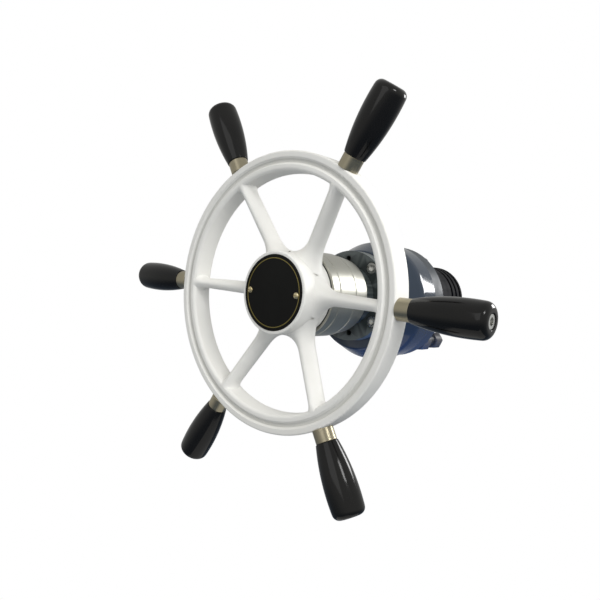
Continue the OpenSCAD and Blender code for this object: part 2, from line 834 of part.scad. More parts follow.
module shroud_screws() {
    color("gray") on_shaft() shroud_screw_places() difference() {
        hole(shroud_screw_d - 2 * thread_fit, nose_d / 2 - shroud_screw_d / 4, shroud_back_d / 2 - cut);
        hex_bar(shroud_screw_d / 2, shroud_back_d / 2 - shroud_screw_d / 2, shroud_back_d / 2);
    }
}

module rear_bolt_places() {
    on_drum() for (side = [0, 1], turn = [-1, 1])
        rotate([0, 0, side * 180 + turn * rear_bolt_angle]) translate([rear_bolt_pcd / 2, 0, 0]) children();
}

// The drum's inside between two heights, less the bosses that take the rear bolts
module drum_inside(z0, z1, boss_top) {
    difference() {
        on_drum() hole(drum_bore_d, z0, z1);
        rear_bolt_places() hole(rear_boss_d, z0 - cut, boss_top);
    }
}

module pump_drum() {
    side_len = drum_len - drum_bell_len;
    bell_back = drum_front - drum_bell_len;
    inside_top = drum_front - drum_face_t;
    boss_top = drum_back + rear_boss_len;
    color("#626a73") on_shaft() difference() {
        on_drum() {
            translate([0, 0, drum_back]) cylinder(d1 = drum_back_d, d2 = drum_d, h = side_len);
            translate([0, 0, bell_back]) cylinder(d1 = drum_d, d2 = drum_face_d, h = drum_bell_len);
        }
        drum_inside(drum_back - cut, inside_top, boss_top);
        hole(drum_hole_d, inside_top - cut, drum_front + cut);
        flange_screw_places() hole(flange_screw_d, inside_top - cut, drum_front + cut);
        rear_bolt_places() hole(rear_bolt_d, drum_back - cut, boss_top - gasket_t);
    }
}

module drum_gasket() {
    color("#2a2a2a") on_shaft() difference() {
        on_drum() hole(rear_plate_d, plate_front, drum_back);
        drum_inside(plate_front - cut, drum_back + cut, drum_back + 2 * cut);
        rear_bolt_places() hole(rear_bolt_d + 2 * screw_gap, plate_front - cut, drum_back + cut);
    }
}

// The stack's outline: a round end about each gear and straight sides
module stack_slab(z0, z1) {
    translate([0, 0, z0]) linear_extrude(z1 - z0) {
        circle(d = stack_d);
        translate([0, -gear_drop]) circle(d = stack_d);
        translate([-stack_d / 2, -gear_drop]) square([stack_d, gear_drop]);
    }
}

module stack_screw_places() {
    translate([0, stack_screw_at, 0]) children();
    translate([0, -gear_drop - stack_screw_at, 0]) children();
    for (side = [-1, 1])
        translate([side * stack_screw_at, -gear_drop / 2, 0]) children();
}

module stack_screw_holes(z0, z1) {
    stack_screw_places() hole(stack_screw_d + 2 * thread_fit, z0 - cut, z1 + cut);
}

module idler_place() {
    translate([0, -gear_drop, 0]) children();
}

module front_wear_plate() {
    color("#b08d57") on_shaft() difference() {
        stack_slab(housing_front, stack_front);
        stack_screw_holes(housing_front, stack_front);
        hole(shaft_drive_d + 2 * running_fit, housing_front - cut, stack_front + cut);
        idler_place() hole(idler_axle_d + 2 * seat_fit, housing_front - cut, housing_front + idler_front_h);
    }
}

module gear_housing() {
    bore_d = 2 * (gear_tip_r + gear_tip_gap);
    color("#8d9196") on_shaft() difference() {
        stack_slab(housing_back, housing_front);
        stack_screw_holes(housing_back, housing_front);
        hole(bore_d, housing_back - cut, housing_front + cut);
        idler_place() hole(bore_d, housing_back - cut, housing_front + cut);
    }
}

module rear_wear_plate() {
    color("#b08d57") on_shaft() difference() {
        stack_slab(plate_front, housing_back);
        stack_screw_holes(plate_front, housing_back);
        hole(shaft_drive_d + 2 * running_fit, plate_front - cut, housing_back + cut);
        idler_place() hole(idler_axle_d + 2 * seat_fit, plate_front - cut, housing_back + cut);
    }
}

module stack_screws() {
    screw_len = stack_front - plate_front + rear_plate_thread - thread_fit;
    color("silver") on_shaft() stack_screw_places() translate([0, 0, stack_front])
        cap_screw(stack_screw_d, screw_len, stack_screw_head_d, stack_screw_head_h);
}

// Half the angle of a tooth at radius r, thinned for the play between the teeth
function roll(r) = acos(min(1, gear_base_r / r));
function involute(angle) = tan(angle) * 180 / PI - angle;
function half_tooth(r) = 90 / gear_teeth - gear_backlash / 4 / pitch_r * 180 / PI
    + involute(gear_pressure) - involute(roll(r));

// A spur gear about z with a tooth at the given angle
module gear_blank(first) {
    steps = 5;
    rise = (gear_tip_r - gear_base_r) / steps;
    radii = concat([gear_root_r], [for (i = [0 : steps]) gear_base_r + rise * i]);
    last = len(radii) - 1;
    flank = concat(
        [for (i = [0 : last]) [radii[i], -half_tooth(max(radii[i], gear_base_r))]],
        [for (i = [last : -1 : 0]) [radii[i], half_tooth(max(radii[i], gear_base_r))]]);
    translate([0, 0, gear_back]) linear_extrude(gear_w)
        polygon([for (k = [0 : gear_teeth - 1]) for (p = flank)
            p[0] * [cos(first + k * 360 / gear_teeth + p[1]), sin(first + k * 360 / gear_teeth + p[1])]]);
}

module drive_gear() {
    color("#9aa0a6") on_shaft() difference() {
        gear_blank(-90);
        hole(shaft_drive_d + 2 * seat_fit, gear_back - cut, gear_back + gear_w + cut);
        drive_key_space(running_fit);
    }
}

module driven_gear() {
    color("#9aa0a6") on_shaft() idler_place() difference() {
        gear_blank(90 + 180 / gear_teeth);
        hole(idler_bush_d + 2 * seat_fit, gear_back - cut, gear_back + gear_w + cut);
    }
}

module idler_bush() {
    color("#b08d57") on_shaft() idler_place()
        tube(idler_bush_d / 2, idler_bush_d / 2 - idler_bush_t, gear_back, gear_back + gear_w);
}

module idler_axle() {
    color("lightgray") on_shaft() idler_place()
        hole(idler_axle_d, plate_front - idler_rear_h, housing_front + idler_front_h);
}

module shaft_bush() {
    color("#b08d57") on_shaft()
        tube(shaft_bush_d / 2 - seat_fit, shaft_drive_d / 2 + running_fit, shaft_back, plate_front);
}

// Turns a shape round so that it stands off the rear plate's back
module behind_plate() {
    translate([0, 0, rear_plate_back]) mirror([0, 0, 1]) children();
}

module at_union(side) {
    translate([side * union_side, -union_drop, 0]) children();
}

module union_places() {
    for (side = [-1, 1])
        at_union(side) children();
}

module breather_place() {
    translate([0, breather_at, 0]) children();
}

module block_screw_places() {
    for (x = [-1, 1], y = [-1, 1])
        translate([x * block_screw_at, y * block_screw_at, 0]) children();
}

module rear_plate() {
    edge_r = rear_plate_d / 2;
    straight = rear_plate_t - rear_plate_chamfer;
    color("#6b737c") on_shaft() difference() {
        on_drum() {
            hole(rear_plate_d, plate_front - straight, plate_front);
            translate([0, 0, rear_plate_back])
                cylinder(r1 = edge_r - rear_plate_chamfer, r2 = edge_r, h = rear_plate_chamfer);
        }
        hole(shaft_bush_d, shaft_back - cut, plate_front + cut);
        idler_place() hole(idler_axle_d + 2 * seat_fit, plate_front - idler_rear_h, plate_front + cut);
        stack_screw_places()
            hole(stack_screw_d + 2 * thread_fit, plate_front - rear_plate_thread, plate_front + cut);
        rear_bolt_places() hole(rear_bolt_d + 2 * screw_gap, rear_plate_back - cut, plate_front + cut);
        union_places()
            hole(union_thread_d, rear_plate_back - cut, rear_plate_back + union_thread_len + sunk_gap);
        breather_place() hole(breather_thread_d, rear_plate_back - cut, plate_front + cut);
        block_screw_places()
            hole(block_screw_d, rear_plate_back - cut, rear_plate_back + rear_plate_thread);
    }
}

module rear_bolts() {
    color("#202020") on_shaft() rear_bolt_places() behind_plate()
        cap_screw(rear_bolt_d - 2 * thread_fit, rear_bolt_len, rear_bolt_head_d, rear_bolt_head_h);
}

module breather_plug() {
    thread_end = plate_front - gasket_t;
    color("#202020") on_shaft() breather_place() difference() {
        union() {
            hole(breather_d, rear_plate_back - breather_h, rear_plate_back);
            hole(breather_thread_d - 2 * thread_fit, rear_plate_back - cut, thread_end);
        }
        hole(breather_bore_d, rear_plate_back - breather_h / 2, thread_end + cut);
    }
}

// The lock valve's bore stands upright across the block
module upright(sign) {
    translate([0, 0, valve_z]) rotate([-90 * sign, 0, 0]) children();
}

module valve_block() {
    block_r = valve_block_d / 2;
    color("#1c1c1c") on_shaft() difference() {
        union() {
            hole(valve_block_d, valve_back + valve_block_chamfer, rear_plate_back);
            translate([0, 0, valve_back])
                cylinder(r1 = block_r - valve_block_chamfer, r2 = block_r, h = valve_block_chamfer);
        }
        for (i = [0 : rib_count - 1])
            tube(valve_block_d, block_r - rib_groove_h, valve_back + rib_back + i * rib_pitch,
                valve_back + rib_back + i * rib_pitch + rib_groove_w);
        upright(1) hole(spool_bore_d, -seat_at - cut, seat_at + cut);
        for (sign = [-1, 1])
            upright(sign) hole(chamber_d, seat_at, valve_block_d);
        block_screw_places() {
            hole(block_screw_d + 2 * screw_gap, valve_back - cut, rear_plate_back + cut);
            hole(block_screw_head_d + 2 * sunk_gap, valve_back - cut, block_head_seat);
        }
    }
}

module block_screws() {
    screw_len = rear_plate_back - block_head_seat + rear_plate_thread - thread_fit;
    color("#202020") on_shaft() block_screw_places() translate([0, 0, block_head_seat]) mirror([0, 0, 1])
        cap_screw(block_screw_d - 2 * thread_fit, screw_len, block_screw_head_d, block_screw_head_h);
}

module valve_plugs() {
    color("#303030") on_shaft() for (sign = [-1, 1])
        upright(sign) difference() {
            hole(chamber_d - 2 * thread_fit, plug_at, plug_reach);
            hex_bar(chamber_d / 2, (plug_at + plug_reach) / 2, plug_reach + cut);
        }
}

module shuttle_spool() {
    color("lightgray") on_shaft() upright(1) {
        hole(spool_d, -spool_half, spool_half);
        hole(spool_pin_d, -spool_reach, spool_reach);
    }
}

// A poppet whose nose lies in the seat's edge
module check_poppet(sign) {
    color("lightgray") on_shaft() upright(sign) {
        hole(2 * poppet_r, poppet_shoulder, poppet_back);
        translate([0, 0, poppet_shoulder - poppet_nose])
            cylinder(r1 = poppet_r - poppet_nose, r2 = poppet_r, h = poppet_nose);
    }
}

// A coil spring swept along a helix between a poppet and its plug
module check_spring(sign) {
    sides = 6;
    steps = 12 * spring_turns;
    wire_r = spring_wire_d / 2;
    low = poppet_back + spring_end_gap + wire_r;
    high = plug_at - spring_end_gap - wire_r;
    points = [for (i = [0 : steps]) for (j = [0 : sides - 1])
        let (turn = 360 * spring_turns * i / steps, r = spring_d / 2 + wire_r * cos(360 * j / sides))
        [r * cos(turn), r * sin(turn), low + (high - low) * i / steps + wire_r * sin(360 * j / sides)]];
    walls = [for (i = [0 : steps - 1]) for (j = [0 : sides - 1])
        let (a = i * sides + j, b = i * sides + (j + 1) % sides)
        each [[a, b, b + sides], [a, b + sides, a + sides]]];
    first_cap = [for (j = [1 : sides - 2]) [0, j + 1, j]];
    last_cap = [for (j = [1 : sides - 2]) steps * sides * [1, 1, 1] + [0, j, j + 1]];
    color("silver") on_shaft() upright(sign) polyhedron(points, concat(walls, first_cap, last_cap));
}

module union_body(side) {
    color("#2a2c30") on_shaft() behind_plate() at_union(side) difference() {
        union() {
            hole(union_thread_d - 2 * thread_fit, -union_thread_len, cut);
            hex_bar(union_hex_af, 0, union_hex_len);
            hole(union_stem_d, union_hex_len - cut, union_stem_end);
        }
        hole(union_oil_d, -union_thread_len - cut, union_stem_end);
        hole(union_pipe_d + 2 * running_fit, union_stem_end - union_socket_h, union_stem_end + cut);
    }
}

// A nut on a union's stem, from its distance behind the rear plate
module stem_nut(flats, start, len) {
    difference() {
        hex_bar(flats, start, start + len);
        hole(union_stem_d + 2 * thread_fit, start - cut, start + len + cut);
    }
}

module union_nuts() {
    gland_start = union_stem_end - union_gland_back - union_gland_len;
    color("#202226") on_shaft() behind_plate() union_places() {
        stem_nut(union_nut_af, union_hex_len + union_nut_at, union_nut_len);
        stem_nut(union_gland_af, gland_start, union_gland_len);
    }
}

wheel_casting();
hub_plate();
plate_screws();
for (i = [1 : spoke_count]) {
    handle(i);
    ferrule(i);
}
handle_bolts();
wheel_nut();
wheel_washer();
wheel_key();
shaft();
inner_race(front_bearing_back);  // front_inner_race
inner_race(bearing_floor);  // rear_inner_race
bearing_spacer();
shaft_circlip();
drive_gear();
drive_key();
nose_flange();
neck_shroud();
shroud_screws();
outer_race(front_bearing_back);  // front_outer_race
outer_race(bearing_floor);  // rear_outer_race
shaft_seal();
flange_screws();
flange_gasket();
pump_drum();
drum_gasket();
front_wear_plate();
gear_housing();
rear_wear_plate();
stack_screws();
rear_plate();
rear_bolts();
idler_axle();
shaft_bush();
breather_plug();
valve_block();
block_screws();
valve_plugs();
check_spring(1);  // check_spring_top
check_spring(-1);  // check_spring_bottom
union_body(-1);  // union_left
union_body(1);  // union_right
union_nuts();
ball_set(front_bearing_back);  // front_ball_set
ball_set(bearing_floor);  // rear_ball_set
driven_gear();
idler_bush();
shuttle_spool();
check_poppet(1);  // check_poppet_top
check_poppet(-1);  // check_poppet_bottom
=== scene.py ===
"""Boat steering helm: a white six-spoke wheel with black grips on a gray-blue hand pump.

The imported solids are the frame. Each class below holds the sizes of one sub-assembly, builds its
pieces round the shaft and dresses them, and the studio puts light and a camera round the whole.
"""

import logging
import math
from dataclasses import dataclass
from enum import Enum
from typing import Iterable, Optional, Sequence

import bmesh
import bpy
from mathutils import Matrix, Vector


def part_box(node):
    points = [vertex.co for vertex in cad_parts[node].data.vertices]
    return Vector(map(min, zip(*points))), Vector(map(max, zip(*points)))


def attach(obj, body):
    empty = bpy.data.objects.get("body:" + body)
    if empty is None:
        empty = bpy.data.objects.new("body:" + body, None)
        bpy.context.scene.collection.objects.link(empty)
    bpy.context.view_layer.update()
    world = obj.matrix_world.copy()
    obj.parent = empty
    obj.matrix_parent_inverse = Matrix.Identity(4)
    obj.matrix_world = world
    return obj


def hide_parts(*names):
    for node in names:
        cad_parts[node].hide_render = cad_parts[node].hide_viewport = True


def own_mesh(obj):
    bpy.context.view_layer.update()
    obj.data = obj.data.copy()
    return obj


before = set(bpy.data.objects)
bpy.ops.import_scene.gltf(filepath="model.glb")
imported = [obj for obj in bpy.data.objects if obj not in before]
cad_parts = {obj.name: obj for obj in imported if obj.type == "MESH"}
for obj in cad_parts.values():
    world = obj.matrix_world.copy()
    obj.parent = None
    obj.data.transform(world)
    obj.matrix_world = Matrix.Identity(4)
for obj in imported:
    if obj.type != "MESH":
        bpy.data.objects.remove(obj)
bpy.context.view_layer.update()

LOG = logging.getLogger("helm")
MM = 0.001
WELD = 0.002 * MM
TURN_SEGMENTS = 96
ARC_STEP = math.radians(11.0)
SHARP_ANGLE = math.radians(38.0)
SPOKE_COUNT = 6
FIRST_SPOKE = math.radians(53.0)
HEX_SIDES = 6
PATCH_DETAIL = 5.0
MARK_DETAIL = 3.0
GLOSS_DETAIL = 4.0
GLOSS_COARSER = 6.0
GLOSS_SHARE = (0.3, 0.7)
ALONG_SHAFT = (0.02, 1.0, 0.02)
ACROSS_SHAFT = (1.0, 0.0, 1.0)

Colour = tuple[float, float, float]
Span = tuple[float, float]
Place = tuple[float, float, float]
BMesh = bmesh.types.BMesh
Edges = list[bmesh.types.BMEdge]
Tree = bpy.types.NodeTree
Socket = bpy.types.NodeSocket


class Body(Enum):
    """The bodies that the dressed pieces ride on."""

    PUMP = "pump"
    WHEEL = "wheel"


# Places along the shaft

def ends(node: str) -> Span:
    """How far a CAD node reaches along the shaft, forward being positive.

    Args:
        node: the node's name.

    Returns:
        Its rear and front end, measured from the panel face.
    """
    low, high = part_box(node)
    return -high.y, -low.y


def on_shaft(side: float = 0.0, up: float = 0.0, forward: float = 0.0) -> Matrix:
    """The turn that lays a shape drawn along Z on the shaft, with its own place there.

    Args:
        side: distance to the right of the shaft.
        up: distance above the shaft.
        forward: distance ahead of the panel face.

    Returns:
        The matrix for the shape's mesh.
    """
    return Matrix.Rotation(math.pi / 2, 4, "X") @ Matrix.Translation((side, up, forward))


def outwards(angle: float, forward: float) -> Matrix:
    """The turn that points a shape drawn along Z away from the shaft.

    Args:
        angle: direction round the shaft, from the right towards the top.
        forward: distance ahead of the panel face.

    Returns:
        The matrix for the shape's mesh.
    """
    lean = Matrix.Translation((0, 0, forward)) @ Matrix.Rotation(math.pi / 2, 4, "Y")
    return on_shaft() @ Matrix.Rotation(angle, 4, "Z") @ lean


def spoke_angles() -> list[float]:
    """The directions of the spokes round the shaft."""
    return [FIRST_SPOKE + i * math.tau / SPOKE_COUNT for i in range(SPOKE_COUNT)]


def four_round(radius: float, angle: float) -> list[tuple[float, float]]:
    """The places of four screws, two to the right of the shaft and two to the left.

    Args:
        radius: their distance from the middle.
        angle: how far above and below the level each of them lies.

    Returns:
        Each screw's distance to the right and up.
    """
    turns = [side + turn for side in (0, math.pi) for turn in (-angle, angle)]
    return [(math.cos(turn) * radius, math.sin(turn) * radius) for turn in turns]


# Mesh making

@dataclass(frozen=True)
class Corner:
    """A corner of a turned outline: its radius, its height on the axis and its rounding."""

    radius: float
    height: float
    fillet: float = 0.0


def rounded(corners: Sequence[Corner], closed: bool) -> list[Vector]:
    """Turns corners into points, with an arc at each corner that has a fillet.

    Args:
        corners: the outline's corners in order.
        closed: whether the last corner joins the first.

    Returns:
        The outline's points as radius and height.
    """
    points: list[Vector] = []
    places = [Vector((corner.radius, corner.height)) for corner in corners]
    for i, corner in enumerate(corners):
        at_end = not closed and i in (0, len(corners) - 1)
        if corner.fillet <= 0 or at_end:
            points.append(places[i])
            continue
        here = places[i]
        before = (places[i - 1] - here).normalized()
        after = (places[(i + 1) % len(places)] - here).normalized()
        half = before.angle(after) / 2
        centre = here + (before + after).normalized() * (corner.fillet / math.sin(half))
        first = here + before * (corner.fillet / math.tan(half)) - centre
        last = here + after * (corner.fillet / math.tan(half)) - centre
        start = math.atan2(first.y, first.x)
        turn = math.remainder(math.atan2(last.y, last.x) - start, math.tau)
        steps = max(2, math.ceil(abs(turn) / ARC_STEP))
        for k in range(steps + 1):
            angle = start + turn * k / steps
            points.append(centre + corner.fillet * Vector((math.cos(angle), math.sin(angle))))
    return points


def turned(corners: Sequence[Corner], closed: bool = True, segments: int = TURN_SEGMENTS) -> BMesh:
    """Spins an outline about Z into a closed skin.

    Args:
        corners: the outline's corners.
        closed: whether the outline is a ring; if not, it starts and ends on the axis.
        segments: steps in the full turn.

    Returns:
        The new mesh.
    """
    bm = bmesh.new()
    verts = [bm.verts.new((p.x, 0, p.y)) for p in rounded(corners, closed)]
    pairs = list(zip(verts, verts[1:]))
    if closed:
        pairs.append((verts[-1], verts[0]))
    edges = [bm.edges.new(pair) for pair in pairs]
    bmesh.ops.spin(bm, geom=verts + edges, cent=(0, 0, 0), axis=(0, 0, 1), angle=math.tau,
                   steps=segments, use_merge=True, use_duplicate=False)
    return tidied(bm)


def tidied(bm: BMesh) -> BMesh:
    """Merges doubled vertices and turns the faces outwards.

    Args:
        bm: the mesh to mend.

    Returns:
        The same mesh.
    """
    bmesh.ops.remove_doubles(bm, verts=bm.verts[:], dist=WELD)
    bmesh.ops.recalc_face_normals(bm, faces=bm.faces[:])
    return bm


def placed(bm: BMesh, matrix: Matrix) -> BMesh:
    """Moves a whole mesh into its place in the part's frame.

    Args:
        bm: the mesh to move.
        matrix: where it goes.

    Returns:
        The same mesh.
    """
    bmesh.ops.transform(bm, matrix=matrix, verts=bm.verts[:])
    return bm


def together(parts: Iterable[BMesh]) -> BMesh:
    """Gathers several meshes into one piece of separate shells.

    Args:
        parts: the meshes, which are freed.

    Returns:
        One mesh with all of them.
    """
    whole = bmesh.new()
    for part in parts:
        shell = bpy.data.meshes.new("shell")
        part.to_mesh(shell)
        part.free()
        whole.from_mesh(shell)
        bpy.data.meshes.remove(shell)
    return whole


def ring(bm: BMesh, shape: Matrix, sides: int) -> Edges:
    """Adds an open ring of edges.

    Args:
        bm: the mesh to add to.
        shape: what sizes and places a unit circle across Z.
        sides: number of edges.

    Returns:
        The ring's edges.
    """
    made = bmesh.ops.create_circle(bm, cap_ends=False, segments=sides, radius=1.0, matrix=shape)
    return list({edge for vert in made["verts"] for edge in vert.link_edges})


def circle(bm: BMesh, radius: float, height: float, sides: int) -> Edges:
    """Adds an open round ring of edges across Z.

    Args:
        bm: the mesh to add to.
        radius: distance of its corners from the axis.
        height: its place on Z.
        sides: number of edges.

    Returns:
        The ring's edges.
    """
    round_shape = Matrix.Diagonal((radius, radius, 1, 1))
    return ring(bm, Matrix.Translation((0, 0, height)) @ round_shape, sides)


def drawn_out(bm: BMesh, edges: Edges, rise: float, grow: float = 1.0) -> Edges:
    """Extrudes a ring of edges along Z.

    Args:
        bm: the mesh.
        edges: the ring to draw out.
        rise: distance along Z.
        grow: scale of the new ring about the axis.

    Returns:
        The new ring's edges.
    """
    made = bmesh.ops.extrude_edge_only(bm, edges=edges)["geom"]
    verts = [item for item in made if isinstance(item, bmesh.types.BMVert)]
    bmesh.ops.scale(bm, vec=(grow, grow, 1), verts=verts)
    bmesh.ops.translate(bm, vec=(0, 0, rise), verts=verts)
    return [item for item in made if isinstance(item, bmesh.types.BMEdge)]


def lofted(bm: BMesh, rings: list[Edges]) -> BMesh:
    """Bridges a row of rings and closes both ends.

    Args:
        bm: the mesh that holds the rings.
        rings: the rings in order.

    Returns:
        The same mesh as a closed skin.
    """
    for low, high in zip(rings, rings[1:]):
        bmesh.ops.bridge_loops(bm, edges=low + high)
    for last in (rings[0], rings[-1]):
        bmesh.ops.edgeloop_fill(bm, edges=last)
    return tidied(bm)


@dataclass(frozen=True)
class SocketScrew:
    """A cap screw's visible end: a round head with a hexagonal socket, its underside at 0."""

    radius: float
    height: float
    shank_radius: float
    shank: float
    chamfer: float = 0.5 * MM
    sides: int = 48

    def mesh(self) -> BMesh:
        """Builds the head, its socket and a plain shank below it."""
        bm = bmesh.new()
        low = circle(bm, self.radius, 0, self.sides)
        foot = drawn_out(bm, low, 0, self.shank_radius / self.radius)
        tip = drawn_out(bm, foot, -self.shank)
        bmesh.ops.edgeloop_fill(bm, edges=tip)
        side = drawn_out(bm, low, self.height - self.chamfer)
        rim = drawn_out(bm, side, self.chamfer, 1 - self.chamfer / self.radius)
        mouth = circle(bm, self.radius / math.sqrt(3), self.height, HEX_SIDES)
        bmesh.ops.bridge_loops(bm, edges=rim + mouth)
        floor = drawn_out(bm, mouth, -self.height / 2)
        bmesh.ops.edgeloop_fill(bm, edges=floor)
        return tidied(bm)


@dataclass(frozen=True)
class HexCollar:
    """A hexagon with its corners turned down at both ends and a plain round bore."""

    flats: float
    height: float
    bore: float
    turned_down: float = 1.2 * MM
    face_share: float = 0.98
    sides: int = 48

    def mesh(self) -> BMesh:
        """Builds the collar with its underside at 0."""
        bm = bmesh.new()
        face = self.flats / 2 * self.face_share
        low = circle(bm, self.flats / math.sqrt(3), self.turned_down, HEX_SIDES)
        high = drawn_out(bm, low, self.height - 2 * self.turned_down)
        mouths = []
        for edges, end in ((low, 0.0), (high, self.height)):
            rim = circle(bm, face, end, self.sides)
            bmesh.ops.bridge_loops(bm, edges=edges + rim)
            mouths.append(drawn_out(bm, rim, 0.0, self.bore / face))
        bmesh.ops.bridge_loops(bm, edges=mouths[0] + mouths[1])
        return placed(tidied(bm), Matrix.Rotation(math.pi / HEX_SIDES, 4, "Z"))


# Finishes

def blend(tree: Tree, value: Socket, span: Span, colour: Colour,
          step: str = "LINEAR") -> bpy.types.Node:
    """Adds a mix that reaches a colour across a span of values.

    Args:
        tree: the nodes to add to.
        value: what is compared with the span.
        span: where the colour starts and where it is full.
        colour: the colour past the span.
        step: how it rises, in the words of the map range node.

    Returns:
        The mix node, with its first colour still free.
    """
    share = tree.nodes.new("ShaderNodeMapRange")
    share.interpolation_type = step
    share.inputs["From Min"].default_value, share.inputs["From Max"].default_value = span
    tree.links.new(value, share.inputs["Value"])
    mix = tree.nodes.new("ShaderNodeMix")
    mix.data_type = "RGBA"
    tree.links.new(share.outputs["Result"], mix.inputs["Factor"])
    mix.inputs["B"].default_value = (*colour, 1.0)
    return mix


class Grain(Enum):
    """Which way a finish's fine marks run."""

    EVEN = "even"
    ROUND_SHAFT = "round the shaft"
    ROUND_GRIP = "round a spoke"


@dataclass(frozen=True)
class Finish:
    """A surface with patchy colour, fine marks, a slightly uneven gloss, worn edges and painted
    shade in its creases.
    """

    name: str
    colour: Colour
    patch_colour: Colour
    roughness: Span
    metallic: float = 0.0
    specular: float = 0.5
    patch_scale: float = 18.0
    patch_share: Span = (0.35, 0.75)
    mark_scale: float = 900.0
    mark_height: float = 0.02 * MM
    mark_strength: float = 0.25
    grain: Grain = Grain.EVEN
    worn_colour: Optional[Colour] = None
    worn_span: Span = (0.53, 0.59)
    # Painted shade: a darker colour where the surface folds inwards, and the pointiness span over
    # which it comes in.
    crease_shade_colour: Optional[Colour] = None
    crease_shade_span: Span = (0.495, 0.465)

    def material(self) -> bpy.types.Material:
        """Makes the material, or finds it if another piece has it already."""
        found = bpy.data.materials.get(self.label)
        return found or self._make()

    @property
    def label(self) -> str:
        """The material's name, which differs from the names of the record's slots."""
        return f"helm_{self.name}"

    def _make(self) -> bpy.types.Material:
        """Builds the node tree."""
        material = bpy.data.materials.new(self.label)
        material.use_nodes = True
        tree = material.node_tree
        shader = tree.nodes["Principled BSDF"]
        shader.inputs["Metallic"].default_value = self.metallic
        shader.inputs["Specular IOR Level"].default_value = self.specular
        place = tree.nodes.new("ShaderNodeTexCoord").outputs["Object"]
        patches = self._noise(tree, place, self.patch_scale, PATCH_DETAIL)
        colour = self._ramp(tree, patches, self.patch_share, self.colour, self.patch_colour)
        if self.worn_colour:
            colour = self._edged(tree, colour, self.worn_colour, self.worn_span)
        # Painted shade: darkens creases and hollows, such as the rim's groove, where shade falls.
        if self.crease_shade_colour:
            colour = self._edged(tree, colour, self.crease_shade_colour, self.crease_shade_span)
        tree.links.new(colour, shader.inputs["Base Color"])
        grained = self._marked(tree, place)
        marks = self._noise(tree, grained, self.mark_scale, MARK_DETAIL)
        gloss = self._noise(tree, grained, self.mark_scale / GLOSS_COARSER, GLOSS_DETAIL)
        low, high = self.roughness
        spread = self._ramp(tree, gloss, GLOSS_SHARE, (low,) * 3, (high,) * 3)
        tree.links.new(spread, shader.inputs["Roughness"])
        bump = tree.nodes.new("ShaderNodeBump")
        bump.inputs["Strength"].default_value = self.mark_strength
        bump.inputs["Distance"].default_value = self.mark_height
        tree.links.new(marks, bump.inputs["Height"])
        tree.links.new(bump.outputs["Normal"], shader.inputs["Normal"])
        return material

    def _marked(self, tree: Tree, place: Socket) -> Socket:
        """Stretches the coordinates so that fine marks run the way of the grain.

        Args:
            tree: the material's nodes.
            place: the plain coordinates.

        Returns:
            The stretched coordinates.
        """
        if self.grain is Grain.EVEN:
            return place
        if self.grain is Grain.ROUND_SHAFT:
            mapping = tree.nodes.new("ShaderNodeMapping")
            mapping.inputs["Scale"].default_value = ALONG_SHAFT
            tree.links.new(place, mapping.inputs["Vector"])
            return mapping.outputs["Vector"]
        flat = tree.nodes.new("ShaderNodeMapping")
        flat.inputs["Scale"].default_value = ACROSS_SHAFT
        tree.links.new(place, flat.inputs["Vector"])
        reach = tree.nodes.new("ShaderNodeVectorMath")
        reach.operation = "LENGTH"
        tree.links.new(flat.outputs["Vector"], reach.inputs[0])
        return reach.outputs["Value"]

    @staticmethod
    def _edged(tree: Tree, colour: Socket, other: Colour, span: Span) -> Socket:
        """Lets another colour show where the surface bends sharply, outwards if the span rises.

        Args:
            tree: the material's nodes.
            colour: what shows elsewhere.
            other: what shows at the bends.
            span: the sharpness at which it starts and at which it is full.

        Returns:
            The mixed colour.
        """
        sharpness = tree.nodes.new("ShaderNodeNewGeometry").outputs["Pointiness"]
        mix = blend(tree, sharpness, span, other)
        tree.links.new(colour, mix.inputs["A"])
        return mix.outputs["Result"]

    @staticmethod
    def _noise(tree: Tree, place: Socket, scale: float, detail: float) -> Socket:
        """Adds a noise texture.

        Args:
            tree: the material's nodes.
            place: its coordinates.
            scale: its fineness.
            detail: its number of finer layers.

        Returns:
            Its value.
        """
        noise = tree.nodes.new("ShaderNodeTexNoise")
        noise.inputs["Scale"].default_value = scale
        noise.inputs["Detail"].default_value = detail
        tree.links.new(place, noise.inputs["Vector"])
        return noise.outputs["Fac"]

    @staticmethod
    def _ramp(tree: Tree, value: Socket, share: Span, low: Colour, high: Colour) -> Socket:
        """Adds a ramp between two colours.

        Args:
            tree: the material's nodes.
            value: what picks the colour.
            share: the values at which the two colours stand.
            low: the first colour.
            high: the second colour.

        Returns:
            The picked colour.
        """
        ramp = tree.nodes.new("ShaderNodeValToRGB")
        ramp.color_ramp.elements[0].position, ramp.color_ramp.elements[1].position = share
        ramp.color_ramp.elements[0].color = (*low, 1.0)
        ramp.color_ramp.elements[1].color = (*high, 1.0)
        tree.links.new(value, ramp.inputs["Fac"])
        return ramp.outputs["Color"]


# The white enamel carries painted shade in its creases, deepest along the rim's groove.
WHITE_ENAMEL = Finish(
    "white_enamel", (0.86, 0.85, 0.81), (0.90, 0.89, 0.855), (0.42, 0.55), specular=0.35,
    mark_scale=420.0, mark_height=0.06 * MM, mark_strength=0.2, crease_shade_colour=(0.34, 0.34, 0.30))
PLATE_BLACK = Finish(
    "plate_black", (0.005, 0.005, 0.0045), (0.009, 0.009, 0.008), (0.4, 0.52), specular=0.1,
    mark_scale=2400.0)
PLATE_GOLD = Finish(
    "plate_gold", (0.22, 0.18, 0.055), (0.32, 0.26, 0.09), (0.3, 0.45), metallic=0.8,
    mark_scale=2600.0)
TRIM_BRASS = Finish(
    "trim_brass", (0.62, 0.52, 0.30), (0.72, 0.64, 0.42), (0.2, 0.32), metallic=1.0,
    mark_scale=2600.0)
GRIP_BLACK = Finish(
    "grip_black", (0.005, 0.005, 0.005), (0.009, 0.0085, 0.008), (0.09, 0.15), specular=0.3,
    mark_scale=900.0, mark_height=0.01 * MM, mark_strength=0.1)
FERRULE_METAL = Finish(
    "ferrule_metal", (0.36, 0.32, 0.225), (0.43, 0.39, 0.29), (0.26, 0.38), metallic=1.0,
    mark_scale=3200.0, grain=Grain.ROUND_GRIP, mark_strength=0.2)
